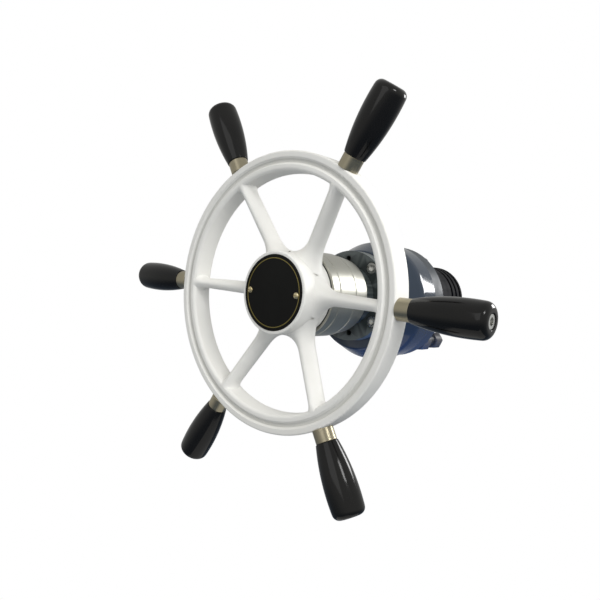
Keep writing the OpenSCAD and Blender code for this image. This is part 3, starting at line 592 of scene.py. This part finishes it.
SHROUD_ALLOY = Finish(
    "shroud_alloy", (0.47, 0.465, 0.415), (0.53, 0.525, 0.475), (0.3, 0.4), metallic=1.0,
    mark_scale=1800.0, grain=Grain.ROUND_SHAFT, mark_strength=0.15)
DARK_CASTING = Finish(
    "dark_casting", (0.024, 0.030, 0.030), (0.034, 0.042, 0.041), (0.3, 0.46), specular=0.35,
    mark_scale=650.0, mark_height=0.12 * MM, worn_colour=(0.10, 0.115, 0.115))
ZINC = Finish(
    "zinc", (0.74, 0.74, 0.71), (0.82, 0.82, 0.80), (0.22, 0.38), metallic=1.0, mark_scale=1400.0)
DRUM_ENAMEL = Finish(
    "drum_enamel", (0.019, 0.030, 0.047), (0.024, 0.036, 0.056), (0.07, 0.12), specular=0.5,
    mark_scale=330.0, mark_height=0.03 * MM, mark_strength=0.12)
COVER_ENAMEL = Finish(
    "cover_enamel", (0.036, 0.042, 0.050), (0.046, 0.053, 0.062), (0.34, 0.46), specular=0.22,
    mark_scale=500.0, mark_height=0.05 * MM, mark_strength=0.2)
BLOCK_BLACK = Finish(
    "block_black", (0.004, 0.004, 0.005), (0.007, 0.007, 0.008), (0.5, 0.64), specular=0.02,
    mark_scale=900.0, mark_strength=0.1, worn_colour=(0.03, 0.03, 0.032), grain=Grain.ROUND_SHAFT)
BLACK_STEEL = Finish(
    "black_steel", (0.006, 0.009, 0.015), (0.010, 0.014, 0.021), (0.34, 0.48), specular=0.18,
    mark_scale=1500.0, mark_strength=0.15, worn_colour=(0.07, 0.07, 0.078))
STEEL = Finish(
    "steel", (0.55, 0.56, 0.57), (0.64, 0.65, 0.66), (0.2, 0.36), metallic=1.0,
    mark_scale=1600.0, grain=Grain.ROUND_SHAFT, mark_strength=0.3)
PUMP_IRON = Finish(
    "pump_iron", (0.30, 0.31, 0.32), (0.38, 0.39, 0.40), (0.34, 0.5), metallic=0.9,
    mark_scale=700.0, mark_height=0.08 * MM)
BRONZE = Finish(
    "bronze", (0.50, 0.33, 0.15), (0.60, 0.42, 0.21), (0.25, 0.4), metallic=1.0,
    mark_scale=1500.0, grain=Grain.ROUND_SHAFT)
SEAL_RUBBER = Finish(
    "seal_rubber", (0.014, 0.014, 0.014), (0.022, 0.022, 0.021), (0.5, 0.66),
    mark_scale=1800.0, specular=0.35)
FLOOR_PAPER = Finish(
    "floor_paper", (0.82, 0.82, 0.82), (0.86, 0.86, 0.86), (0.7, 0.8), patch_scale=1.5,
    mark_scale=200.0)


def dress(node: str, finish: Finish) -> None:
    """Gives a CAD node its finish.

    Args:
        node: the CAD node that stays in view.
        finish: what it is made of.
    """
    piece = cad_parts[node]
    piece.data.materials.clear()
    piece.data.materials.append(finish.material())
    LOG.info("dressed %s with %s", node, finish.name)


def add_piece(bm: BMesh, name: str, body: Body, finish: Finish,
              stands_for: Sequence[str] = (), sharp: float = SHARP_ANGLE) -> bpy.types.Object:
    """Makes an object of a mesh, dresses it and lets it ride on a body.

    Args:
        bm: the mesh in the part's frame, which is freed.
        name: the piece's name.
        body: the body that it moves with.
        finish: what it is made of.
        stands_for: the CAD nodes that it replaces.
        sharp: edges that bend more than this stay crisp.

    Returns:
        The new object.
    """
    mesh = bpy.data.meshes.new(name)
    bm.to_mesh(mesh)
    bm.free()
    mesh.polygons.foreach_set("use_smooth", [True] * len(mesh.polygons))
    mesh.set_sharp_from_angle(angle=sharp)
    mesh.materials.append(finish.material())
    piece = bpy.data.objects.new(name, mesh)
    bpy.context.scene.collection.objects.link(piece)
    shade = piece.modifiers.new("even_shading", "WEIGHTED_NORMAL")
    shade.keep_sharp = True
    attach(piece, body.value)
    if stands_for:
        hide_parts(*stands_for)
    LOG.info("made %s with %d faces", name, len(mesh.polygons))
    return piece


# Sub-assemblies

@dataclass
class WheelCasting:
    """The white wheel: a grooved rim, oval spokes that lean back, and a round hub."""

    rim_radius: float = 141.5 * MM
    rim_thickness: float = 20 * MM
    rim_width: float = 23 * MM
    lip: float = 6.5 * MM
    groove: float = 7 * MM
    groove_tip: float = 4.8 * MM
    groove_round: float = 2.6 * MM
    crest_round: float = 1.6 * MM
    bead_round: float = 3.6 * MM
    edge: float = 2 * MM
    hub_lead: float = 1 * MM
    hub_radius: float = 42 * MM
    hub_length: float = 41 * MM
    hub_edge: float = 1.6 * MM
    hub_back_edge: float = 0.6 * MM
    spigot_radius: float = 22 * MM
    shaft_radius: float = 11 * MM
    plate_room: float = 38.5 * MM
    plate_depth: float = 2.5 * MM
    pocket_radius: float = 19 * MM
    pocket_depth: float = 15 * MM
    root_width: float = 7.3 * MM
    foot_width: float = 5.5 * MM
    spoke_depth: float = 11.2 * MM
    spoke_lean: float = 16.5 * MM
    root_fillet: float = 29 * MM
    foot_fillet: float = 10 * MM
    root_lift: float = 0.3
    sunk: float = 2.5 * MM
    spigot_edge: float = 1 * MM
    spigot_fillet: float = 2 * MM
    seat_edge: float = 0.5 * MM
    pocket_fillet: float = 1 * MM
    stations: int = 48
    spoke_sides: int = 48
    spoke_sharp: float = math.radians(70.0)

    def __post_init__(self) -> None:
        """Takes the wheel's place on the shaft from the frame."""
        self.spigot_back, self.hub_front = ends("wheel_casting")
        self.rim_front = self.hub_front - self.hub_lead
        self.hub_back = self.hub_front - self.hub_length
        self.rim_inside = self.rim_radius - self.rim_thickness
        half_gap = math.pi / SPOKE_COUNT
        gap_centre = (self.root_fillet + self.root_width) / math.sin(half_gap)
        self.root_start = gap_centre * math.cos(half_gap) - self.root_fillet
        self.spoke_start = (gap_centre - self.root_fillet) * math.cos(half_gap)

    def build(self) -> None:
        """Makes rim, spokes and hub."""
        self._rim()
        self._spokes()
        self._hub()

    def _rim(self) -> None:
        """Turns the rim."""
        front, back = self.rim_front, self.rim_front - self.rim_width
        lip_in = self.rim_radius - self.lip
        bead_out = lip_in - self.groove
        corners = [
            Corner(self.rim_inside, back, self.edge),
            Corner(self.rim_inside, front, self.bead_round),
            Corner(bead_out, front, self.crest_round),
            Corner((bead_out + lip_in) / 2, front - self.groove_tip, self.groove_round),
            Corner(lip_in, front, self.crest_round), Corner(self.rim_radius, front, self.edge),
            Corner(self.rim_radius, back, self.edge),
        ]
        rim = placed(turned(corners, segments=2 * TURN_SEGMENTS), on_shaft())
        add_piece(rim, "wheel_rim", Body.WHEEL, WHITE_ENAMEL, ["wheel_casting"])

    def _section(self, reach: float) -> Matrix:
        """The size and place of a spoke's oval at one distance from the shaft.

        Args:
            reach: distance from the shaft.

        Returns:
            What turns a unit circle into that oval, with depth on X and width on Y.
        """
        share = (self.rim_inside - reach) / (self.rim_inside - self.hub_radius)
        root = self._flare(reach - self.root_start, self.root_fillet)
        foot = self._flare(self.rim_inside + self.sunk - reach, self.foot_fillet)
        width = self.foot_width + (self.root_width - self.foot_width) * share + root + foot
        lift = root * self.root_lift
        middle = self.spoke_lean * share - lift
        oval = Matrix.Diagonal((self.spoke_depth + lift, width, 1, 1))
        return Matrix.Translation((middle, 0, reach)) @ oval

    @staticmethod
    def _flare(away: float, radius: float) -> float:
        """How far a fillet stands out.

        Args:
            away: distance from the face that it runs into.
            radius: its radius.

        Returns:
            Its width there.
        """
        if away >= radius:
            return 0.0
        return radius - math.sqrt(radius ** 2 - (radius - max(away, 0.0)) ** 2)

    def _spokes(self) -> None:
        """Bridges the ovals of each spoke from the hub to the rim."""
        end = self.rim_inside + self.sunk
        middle = self.rim_front - self.rim_width / 2
        meshes = []
        for angle in spoke_angles():
            bm = bmesh.new()
            rings = []
            for k in range(self.stations + 1):
                ease = 0.5 - 0.5 * math.cos(math.pi * k / self.stations)
                reach = self.spoke_start + (end - self.spoke_start) * ease
                rings.append(ring(bm, self._section(reach), self.spoke_sides))
            meshes.append(placed(lofted(bm, rings), outwards(angle, middle)))
        add_piece(together(meshes), "wheel_spokes", Body.WHEEL, WHITE_ENAMEL,
                  ["wheel_casting"], self.spoke_sharp)

    def _hub(self) -> None:
        """Turns the hub with its plate seat, nut pocket and spigot."""
        seat = self.hub_front - self.plate_depth
        pocket = seat - self.pocket_depth
        corners = [
            Corner(self.shaft_radius, self.spigot_back),
            Corner(self.spigot_radius, self.spigot_back, self.spigot_edge),
            Corner(self.spigot_radius, self.hub_back, self.spigot_fillet),
            Corner(self.hub_radius, self.hub_back, self.hub_back_edge),
            Corner(self.hub_radius, self.hub_front, self.hub_edge),
            Corner(self.plate_room, self.hub_front, self.seat_edge),
            Corner(self.plate_room, seat), Corner(self.pocket_radius, seat, self.seat_edge),
            Corner(self.pocket_radius, pocket, self.pocket_fillet),
            Corner(self.shaft_radius, pocket),
        ]
        hub = placed(turned(corners), on_shaft())
        add_piece(hub, "wheel_hub", Body.WHEEL, WHITE_ENAMEL, ["wheel_casting"])


@dataclass
class HubPlate:
    """The black disc in the hub with its raised border, gold line and two slotted screws."""

    radius: float = 38.2 * MM
    border: float = 2.4 * MM
    line: float = 1.0 * MM
    line_height: float = 0.35 * MM
    screw_circle: float = 31.3 * MM
    screw_head: float = 3.2 * MM
    screw_height: float = 1.6 * MM
    slot_width: float = 0.9 * MM
    edge: float = 0.3 * MM
    border_edge: float = 0.25 * MM
    line_gap: float = 0.5 * MM
    line_edge: float = 0.2 * MM
    screw_edge: float = 0.4 * MM
    shank_share: float = 0.6
    wall_share: float = 0.55
    crown_share: float = 0.45
    slot_from_share: float = 0.5
    slot_side_share: float = 0.45
    slot_depth_share: float = 0.6
    screw_sides: int = 48
    screw_spokes: tuple[int, int] = (2, 5)

    def __post_init__(self) -> None:
        """Takes the plate's place on the shaft from the frame."""
        self.back, self.front = ends("hub_plate")
        self.face = ends("wheel_casting")[1]

    def build(self) -> None:
        """Makes plate, gold line and screws."""
        inner = self.radius - self.border
        corners = [
            Corner(0, self.back), Corner(self.radius, self.back, self.edge),
            Corner(self.radius, self.front, self.edge), Corner(inner, self.front, self.border_edge),
            Corner(inner, self.face, self.edge), Corner(0, self.face),
        ]
        disc = placed(turned(corners, closed=False), on_shaft())
        add_piece(disc, "hub_plate_disc", Body.WHEEL, PLATE_BLACK, ["hub_plate"])
        outer = inner - self.line_gap
        low, top = self.face - self.line_height, self.face + self.line_height
        corners = [
            Corner(outer, low), Corner(outer, top, self.line_edge),
            Corner(outer - self.line, top, self.line_edge), Corner(outer - self.line, low),
        ]
        line = placed(turned(corners), on_shaft())
        add_piece(line, "hub_plate_line", Body.WHEEL, PLATE_GOLD)
        self._screws()

    def _screws(self) -> None:
        """Makes the two screws, each a low dome in two halves with a slot between."""
        shank = self.screw_head * self.shank_share
        meshes = []
        for spoke in self.screw_spokes:
            turn = on_shaft() @ Matrix.Rotation(spoke_angles()[spoke], 4, "Z")
            place = turn @ Matrix.Translation((self.screw_circle, 0, self.face))
            corners = [
                Corner(0, -self.screw_height), Corner(shank, -self.screw_height),
                Corner(shank, 0), Corner(self.screw_head, 0),
                Corner(self.screw_head, self.screw_height * self.wall_share, self.screw_edge),
                Corner(self.screw_head * self.crown_share, self.screw_height),
                Corner(0, self.screw_height),
            ]
            head = turned(corners, closed=False, segments=self.screw_sides)
            for side in (-1, 1):
                bmesh.ops.bisect_plane(head, geom=head.verts[:] + head.edges[:] + head.faces[:],
                                       plane_co=(0, side * self.slot_width / 2, 0),
                                       plane_no=(0, 1, 0))
            above = self.screw_height * self.slot_from_share
            beside = self.slot_width * self.slot_side_share
            sunk = [v for v in head.verts if v.co.z > above and abs(v.co.y) < beside]
            fall = self.screw_height * self.slot_depth_share
            bmesh.ops.translate(head, vec=(0, 0, -fall), verts=sunk)
            meshes.append(placed(tidied(head), place))
        add_piece(together(meshes), "plate_slot_screws", Body.WHEEL, TRIM_BRASS,
                  ["plate_screws"])


@dataclass
class Grips:
    """The six black grips with their ferrules and through bolts."""

    set_back: float = 9 * MM
    rim_radius: float = 140.7 * MM
    ferrule_radius: float = 10.3 * MM
    ferrule_length: float = 13.5 * MM
    ferrule_edge: float = 0.6 * MM
    length: float = 70 * MM
    neck_radius: float = 11 * MM
    crown_radius: float = 16.4 * MM
    crown_at: float = 48 * MM
    end_rounding: float = 8.5 * MM
    bolt_radius: float = 4 * MM
    head_radius: float = 6.5 * MM
    head_height: float = 8 * MM
    head_sink: float = 0.8 * MM
    head_room: float = 0.3 * MM
    bolt_room: float = 0.4 * MM
    bolt_in_rim: float = 14 * MM
    neck_edge: float = 0.8 * MM
    recess_edge: float = 0.6 * MM
    end_share: float = 0.8
    barrel_steps: int = 14

    def __post_init__(self) -> None:
        """Takes the grips' place on the shaft from the frame."""
        self.forward = ends("wheel_casting")[1] - WheelCasting.hub_lead - self.set_back
        self.start = self.rim_radius + self.ferrule_length
        self.end = self.start + self.length
        self.bore = self.bolt_radius + self.bolt_room

    def build(self) -> None:
        """Makes each grip and ferrule, and the bolts as one piece."""
        bolts = []
        for i, angle in enumerate(spoke_angles(), start=1):
            place = outwards(angle, self.forward)
            add_piece(placed(self._grip(), place), f"grip_{i}", Body.WHEEL,
                      GRIP_BLACK, [f"handle_{i}"])
            add_piece(placed(self._ferrule(), place), f"ferrule_sleeve_{i}", Body.WHEEL,
                      FERRULE_METAL, [f"ferrule_{i}"])
            floor = self.end - self.head_sink - self.head_height
            shank = floor - self.rim_radius + self.bolt_in_rim
            screw = SocketScrew(self.head_radius, self.head_height, self.bolt_radius, shank)
            bolts.append(placed(screw.mesh(), place @ Matrix.Translation((0, 0, floor))))
        add_piece(together(bolts), "grip_bolts", Body.WHEEL, ZINC, ["handle_bolts"])

    def _barrel(self, height: float) -> float:
        """The grip's radius at one height.

        Args:
            height: distance above its inner end.

        Returns:
            Its radius there.
        """
        swell = self.crown_radius - self.neck_radius
        arc = (self.crown_at ** 2 + swell ** 2) / (2 * swell)
        return self.crown_radius - arc + math.sqrt(arc ** 2 - (height - self.crown_at) ** 2)

    def _grip(self) -> BMesh:
        """Turns one grip with the recess for the bolt's head in its end."""
        straight = self.length - self.end_rounding
        room = self.head_radius + self.head_room
        floor = self.length - self.head_sink - self.head_height
        corners = [Corner(self.bore, 0), Corner(self.neck_radius, 0, self.neck_edge)]
        for k in range(1, self.barrel_steps + 1):
            height = straight * k / self.barrel_steps
            corners.append(Corner(self._barrel(height), height))
        corners += [
            Corner(self._barrel(self.length), self.length, self.end_rounding * self.end_share),
            Corner(room, self.length, self.recess_edge), Corner(room, floor),
            Corner(self.bore, floor),
        ]
        return placed(turned(corners), Matrix.Translation((0, 0, self.start)))

    def _ferrule(self) -> BMesh:
        """Turns one ferrule."""
        low, high = self.rim_radius, self.start
        corners = [
            Corner(self.bore, low), Corner(self.ferrule_radius, low, self.ferrule_edge),
            Corner(self.ferrule_radius, high, self.ferrule_edge), Corner(self.bore, high),
        ]
        return turned(corners)


@dataclass
class NeckShroud:
    """The polished sleeve behind the hub, tapered at the rear and ringed by two lines."""

    radius: float = 45.4 * MM
    back_radius: float = 42 * MM
    wall: float = 2.9 * MM
    ring: float = 12 * MM
    nose_radius: float = 34.02 * MM
    lines: Span = (25 * MM, 52 * MM)
    line_width: float = 1.8 * MM
    line_depth: float = 0.9 * MM
    line_edge: float = 0.4 * MM
    floor_share: float = 0.4
    floor_edge: float = 0.3 * MM
    edge: float = 0.4 * MM
    mouth_edge: float = 0.5 * MM
    segments: int = 128

    def build(self) -> None:
        """Turns the sleeve."""
        back, front = ends("neck_shroud")
        half = self.line_width / 2
        flat = half * self.floor_share
        floor = self.radius - self.line_depth
        inside = self.radius - self.wall
        corners = [Corner(self.nose_radius, back), Corner(self.back_radius, back, self.edge)]
        for line in (back + line for line in self.lines):
            corners += [
                Corner(self.radius, line - half, self.line_edge),
                Corner(floor, line - flat, self.floor_edge),
                Corner(floor, line + flat, self.floor_edge),
                Corner(self.radius, line + half, self.line_edge),
            ]
        corners += [
            Corner(self.radius, front, self.edge), Corner(inside, front, self.mouth_edge),
            Corner(inside, back + self.ring), Corner(self.nose_radius, back + self.ring),
        ]
        sleeve = placed(turned(corners, segments=self.segments), on_shaft())
        add_piece(sleeve, "neck_sleeve", Body.PUMP, SHROUD_ALLOY, ["neck_shroud"])
        dress("shroud_screws", BLACK_STEEL)


@dataclass
class NoseFlange:
    """The dark front housing with its zinc screws."""

    screw_circle: float = 43.5 * MM
    screw_angle: float = math.radians(44.0)
    head_radius: float = 6.5 * MM
    head_height: float = 8 * MM
    sink: float = 0.3 * MM
    shank_radius: float = 3.95 * MM
    shank: float = 20 * MM

    def build(self) -> None:
        """Dresses the housing and makes the screws."""
        dress("nose_flange", DARK_CASTING)
        dress("flange_gasket", SEAL_RUBBER)
        dress("shaft_seal", SEAL_RUBBER)
        screw = SocketScrew(self.head_radius, self.head_height, self.shank_radius, self.shank)
        meshes = []
        for side, up in four_round(self.screw_circle, self.screw_angle):
            place = on_shaft(side, up, -self.head_height - self.sink)
            meshes.append(placed(screw.mesh(), place))
        add_piece(together(meshes), "flange_cap_screws", Body.PUMP, ZINC, ["flange_screws"])


@dataclass
class PumpDrum:
    """The gray-blue bell and drum, a little below the shaft."""

    drop: float = 5 * MM
    face_radius: float = 58 * MM
    largest: float = 71.5 * MM
    back_radius: float = 70 * MM
    bell: float = 32 * MM
    bore: float = 61.5 * MM
    face_thickness: float = 16 * MM
    hole: float = 18 * MM
    shoulder: float = 26 * MM
    face_edge: float = 3 * MM
    back_edge: float = 0.8 * MM
    segments: int = 160

    def build(self) -> None:
        """Turns the drum."""
        back, front = ends("pump_drum")
        belly = front - self.bell
        wall = front - self.face_thickness
        corners = [
            Corner(self.bore, back), Corner(self.back_radius, back, self.back_edge),
            Corner(self.largest, belly, self.shoulder),
            Corner(self.face_radius, front, self.face_edge),
            Corner(self.hole, front), Corner(self.hole, wall), Corner(self.bore, wall),
        ]
        drum = placed(turned(corners, segments=self.segments), on_shaft(up=-self.drop))
        add_piece(drum, "drum_shell", Body.PUMP, DRUM_ENAMEL, ["pump_drum"])
        dress("drum_gasket", SEAL_RUBBER)


@dataclass
class RearCover:
    """The drum's back cover with its bolts and breather."""

    drop: float = 5 * MM
    bolt_circle: float = 60.25 * MM
    bolt_angle: float = math.radians(52.0)
    head_radius: float = 6.5 * MM
    head_height: float = 9 * MM
    shank_radius: float = 3.95 * MM
    shank: float = 44 * MM

    def build(self) -> None:
        """Dresses the cover and makes its bolts."""
        dress("rear_plate", COVER_ENAMEL)
        dress("breather_plug", BLACK_STEEL)
        back = ends("rear_plate")[0]
        screw = SocketScrew(self.head_radius, self.head_height, self.shank_radius, self.shank)
        about = Matrix.Rotation(math.pi, 4, "X")
        meshes = []
        for side, up in four_round(self.bolt_circle, self.bolt_angle):
            place = on_shaft(side, up - self.drop, back) @ about
            meshes.append(placed(screw.mesh(), place))
        add_piece(together(meshes), "rear_cap_bolts", Body.PUMP, BLACK_STEEL,
                  ["rear_bolts"])


@dataclass
class PipeUnions:
    """The two black pipe unions low on the back, each with a lock nut and a gland nut."""

    side: float = 15 * MM
    drop: float = 57 * MM
    nut_flats: float = 22 * MM
    nut_length: float = 18 * MM
    gland_flats: float = 20 * MM
    gland_length: float = 16 * MM
    nut_bore: float = 8.05 * MM

    def build(self) -> None:
        """Dresses the unions and makes their nuts."""
        back, front = ends("union_nuts")
        lock_nut = HexCollar(self.nut_flats, self.nut_length, self.nut_bore)
        gland_nut = HexCollar(self.gland_flats, self.gland_length, self.nut_bore)
        nuts = []
        for side in (-self.side, self.side):
            seat = on_shaft(side, -self.drop, front - self.nut_length)
            nuts.append(placed(lock_nut.mesh(), seat))
            nuts.append(placed(gland_nut.mesh(), on_shaft(side, -self.drop, back)))
        add_piece(together(nuts), "union_hex_nuts", Body.PUMP, BLACK_STEEL,
                  ["union_nuts"])
        for node in ("union_left", "union_right"):
            dress(node, BLACK_STEEL)


@dataclass
class CheckSprings:
    """The two coil springs of the lock valve, which shorten as their poppets lift."""

    coil_radius: float = 5.5 * MM
    wire_radius: float = 0.7 * MM
    turns: int = 3
    steps_a_turn: int = 40
    wire_sides: int = 16
    plug_face: float = 33 * MM
    room: float = 8 * MM
    lift: float = 2.5 * MM

    def build(self) -> None:
        """Winds both springs where their CAD nodes stood."""
        for name, sign in (("top", 1), ("bottom", -1)):
            low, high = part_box(f"check_spring_{name}")
            middle = (low + high) / 2
            coil = placed(self._coil(high.z - low.z), Matrix.Translation(middle))
            spring = add_piece(coil, f"check_coil_{name}", Body.PUMP, STEEL,
                               [f"check_spring_{name}"])
            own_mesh(spring)

    def _coil(self, length: float) -> BMesh:
        """Winds one spring along Z about its own middle.

        Args:
            length: from end to end over the wire.

        Returns:
            The new mesh.
        """
        bm = bmesh.new()
        steps = self.turns * self.steps_a_turn
        section = Matrix.Diagonal((self.wire_radius, self.wire_radius, 1, 1))
        wire = Matrix.Rotation(math.pi / 2, 4, "X") @ section
        rings = []
        for k in range(steps + 1):
            height = (length - 2 * self.wire_radius) * (k / steps - 0.5)
            turn = Matrix.Rotation(math.tau * k / self.steps_a_turn, 4, "Z")
            place = turn @ Matrix.Translation((self.coil_radius, 0, height))
            rings.append(ring(bm, place @ wire, self.wire_sides))
        return lofted(bm, rings)


class InnerWorks:
    """The pieces that keep their CAD shape."""

    finishes: dict[Finish, tuple[str, ...]] = {
        STEEL: (
            "wheel_nut", "wheel_washer", "wheel_key", "shaft", "front_inner_race",
            "rear_inner_race", "bearing_spacer", "shaft_circlip", "drive_gear", "drive_key",
            "front_outer_race", "rear_outer_race", "stack_screws", "idler_axle", "driven_gear",
            "shuttle_spool", "check_poppet_top", "check_poppet_bottom", "front_ball_set",
            "rear_ball_set",
        ),
        PUMP_IRON: ("gear_housing",),
        BRONZE: ("front_wear_plate", "rear_wear_plate", "shaft_bush", "idler_bush"),
        BLOCK_BLACK: ("valve_block",),
        BLACK_STEEL: ("block_screws", "valve_plugs"),
    }

    def build(self) -> None:
        """Dresses each piece."""
        for finish, nodes in self.finishes.items():
            for node in nodes:
                dress(node, finish)


@dataclass(frozen=True)
class Softbox:
    """A square lamp that faces the part: where it stands, its size, colour, power and spread."""

    name: str
    place: Place
    size: float
    power: float
    colour: Colour = (1.0, 1.0, 1.0)
    aim: Place = (0.0, 0.0, 0.0)
    spread: float = math.pi
    mirrored: bool = True

    def build(self) -> None:
        """Adds the lamp to the scene, seen in polished surfaces only where it is mirrored."""
        data = bpy.data.lights.new(self.name, "AREA")
        data.size = self.size
        data.energy = self.power
        data.color = self.colour
        data.spread = self.spread
        lamp = bpy.data.objects.new(self.name, data)
        lamp.visible_glossy = self.mirrored
        lamp.location = self.place
        away = Vector(self.place) - Vector(self.aim)
        lamp.rotation_euler = away.to_track_quat("Z", "Y").to_euler()
        bpy.context.scene.collection.objects.link(lamp)


@dataclass
class Studio:
    """Floor, light and the camera at the photograph's angle."""

    azimuth: float = math.radians(40.3)
    elevation: float = math.radians(-1.26)
    distance: float = 608.9 * MM
    aim_right: float = 26.54 * MM
    aim_up: float = -7.39 * MM
    rim_front: float = 128 * MM
    focal_pixels: float = 609.5
    image_pixels: float = 600.0
    sensor: float = 36.0
    clip_start: float = 0.01
    floor_drop: float = 2.0
    floor_size: float = 2.6
    room_light: Colour = (0.56, 0.56, 0.545)
    ground_light: Colour = (0.10, 0.13, 0.175)
    backdrop_light: Colour = (1.0, 1.0, 1.0)
    ground_edge: Span = (0.05, -0.6)
    softboxes: tuple[Softbox, ...] = (
        Softbox("key_softbox", (1.50, -0.50, 0.80), 1.4, 18.0, mirrored=False),
        Softbox("key_glint", (1.45, -0.40, 0.70), 0.34, 4.0),
        Softbox("front_fill", (0.4, -1.9, 0.7), 1.4, 5.0),
        Softbox("rear_window", (0.72, 1.33, 0.44), 0.46, 8.5),
        Softbox("low_blue_card", (0.05, 0.04, -0.26), 0.12, 0.11, (0.03, 0.27, 1.0),
                aim=(0.0, 0.10, 0.0), spread=math.radians(50.0)),
    )

    def build(self) -> None:
        """Makes camera, floor, world and lamps."""
        self._camera()
        self._floor()
        self._world()
        for softbox in self.softboxes:
            softbox.build()

    def _towards_camera(self) -> Vector:
        """The direction from the part to the camera."""
        az, el = self.azimuth, self.elevation
        return Vector((math.sin(az) * math.cos(el), -math.cos(az) * math.cos(el), math.sin(el)))

    def _camera(self) -> None:
        """Puts the camera where the photograph was taken from."""
        back = self._towards_camera()
        right = Vector((math.cos(self.azimuth), math.sin(self.azimuth), 0))
        up = back.cross(right)
        data = bpy.data.cameras.new("camera")
        data.sensor_width = self.sensor
        data.lens = self.sensor * self.focal_pixels / self.image_pixels
        data.clip_start = self.clip_start
        camera = bpy.data.objects.new("camera", data)
        aim = right * self.aim_right + up * self.aim_up + Vector((0, -self.rim_front, 0))
        camera.location = aim + back * self.distance
        camera.rotation_euler = (-back).to_track_quat("-Z", "Y").to_euler()
        bpy.context.scene.collection.objects.link(camera)
        bpy.context.scene.camera = camera

    def _floor(self) -> None:
        """Lays a pale floor well below the wheel."""
        bm = bmesh.new()
        bmesh.ops.create_grid(bm, x_segments=1, y_segments=1, size=self.floor_size / 2,
                              matrix=Matrix.Translation((0, 0, -self.floor_drop)))
        mesh = bpy.data.meshes.new("floor")
        bm.to_mesh(mesh)
        bm.free()
        floor = bpy.data.objects.new("floor", mesh)
        mesh.materials.append(FLOOR_PAPER.material())
        bpy.context.scene.collection.objects.link(floor)

    def _world(self) -> None:
        """Surrounds the part with a soft room, dimmer below, and shows plain white behind it."""
        world = bpy.data.worlds.new("studio")
        world.use_nodes = True
        tree = world.node_tree
        way = tree.nodes.new("ShaderNodeTexCoord").outputs["Generated"]
        split = tree.nodes.new("ShaderNodeSeparateXYZ")
        tree.links.new(way, split.inputs["Vector"])
        height = split.outputs["Z"]
        room = blend(tree, height, self.ground_edge, self.ground_light, "SMOOTHSTEP")
        room.inputs["A"].default_value = (*self.room_light, 1.0)
        seen = tree.nodes.new("ShaderNodeLightPath").outputs["Is Camera Ray"]
        whole = blend(tree, seen, (0.0, 1.0), self.backdrop_light)
        tree.links.new(room.outputs["Result"], whole.inputs["A"])
        tree.links.new(whole.outputs["Result"], tree.nodes["Background"].inputs["Color"])
        bpy.context.scene.world = world
        bpy.context.scene.view_settings.view_transform = "Standard"


def main() -> None:
    """Builds the sub-assemblies in order, then the studio."""
    logging.basicConfig(level=logging.INFO, format="%(name)s: %(message)s")
    for part in (WheelCasting(), HubPlate(), Grips(), NeckShroud(), NoseFlange(), PumpDrum(),
                 RearCover(), PipeUnions(), CheckSprings(), InnerWorks(), Studio()):
        part.build()


if __name__ == "__main__":
    main()
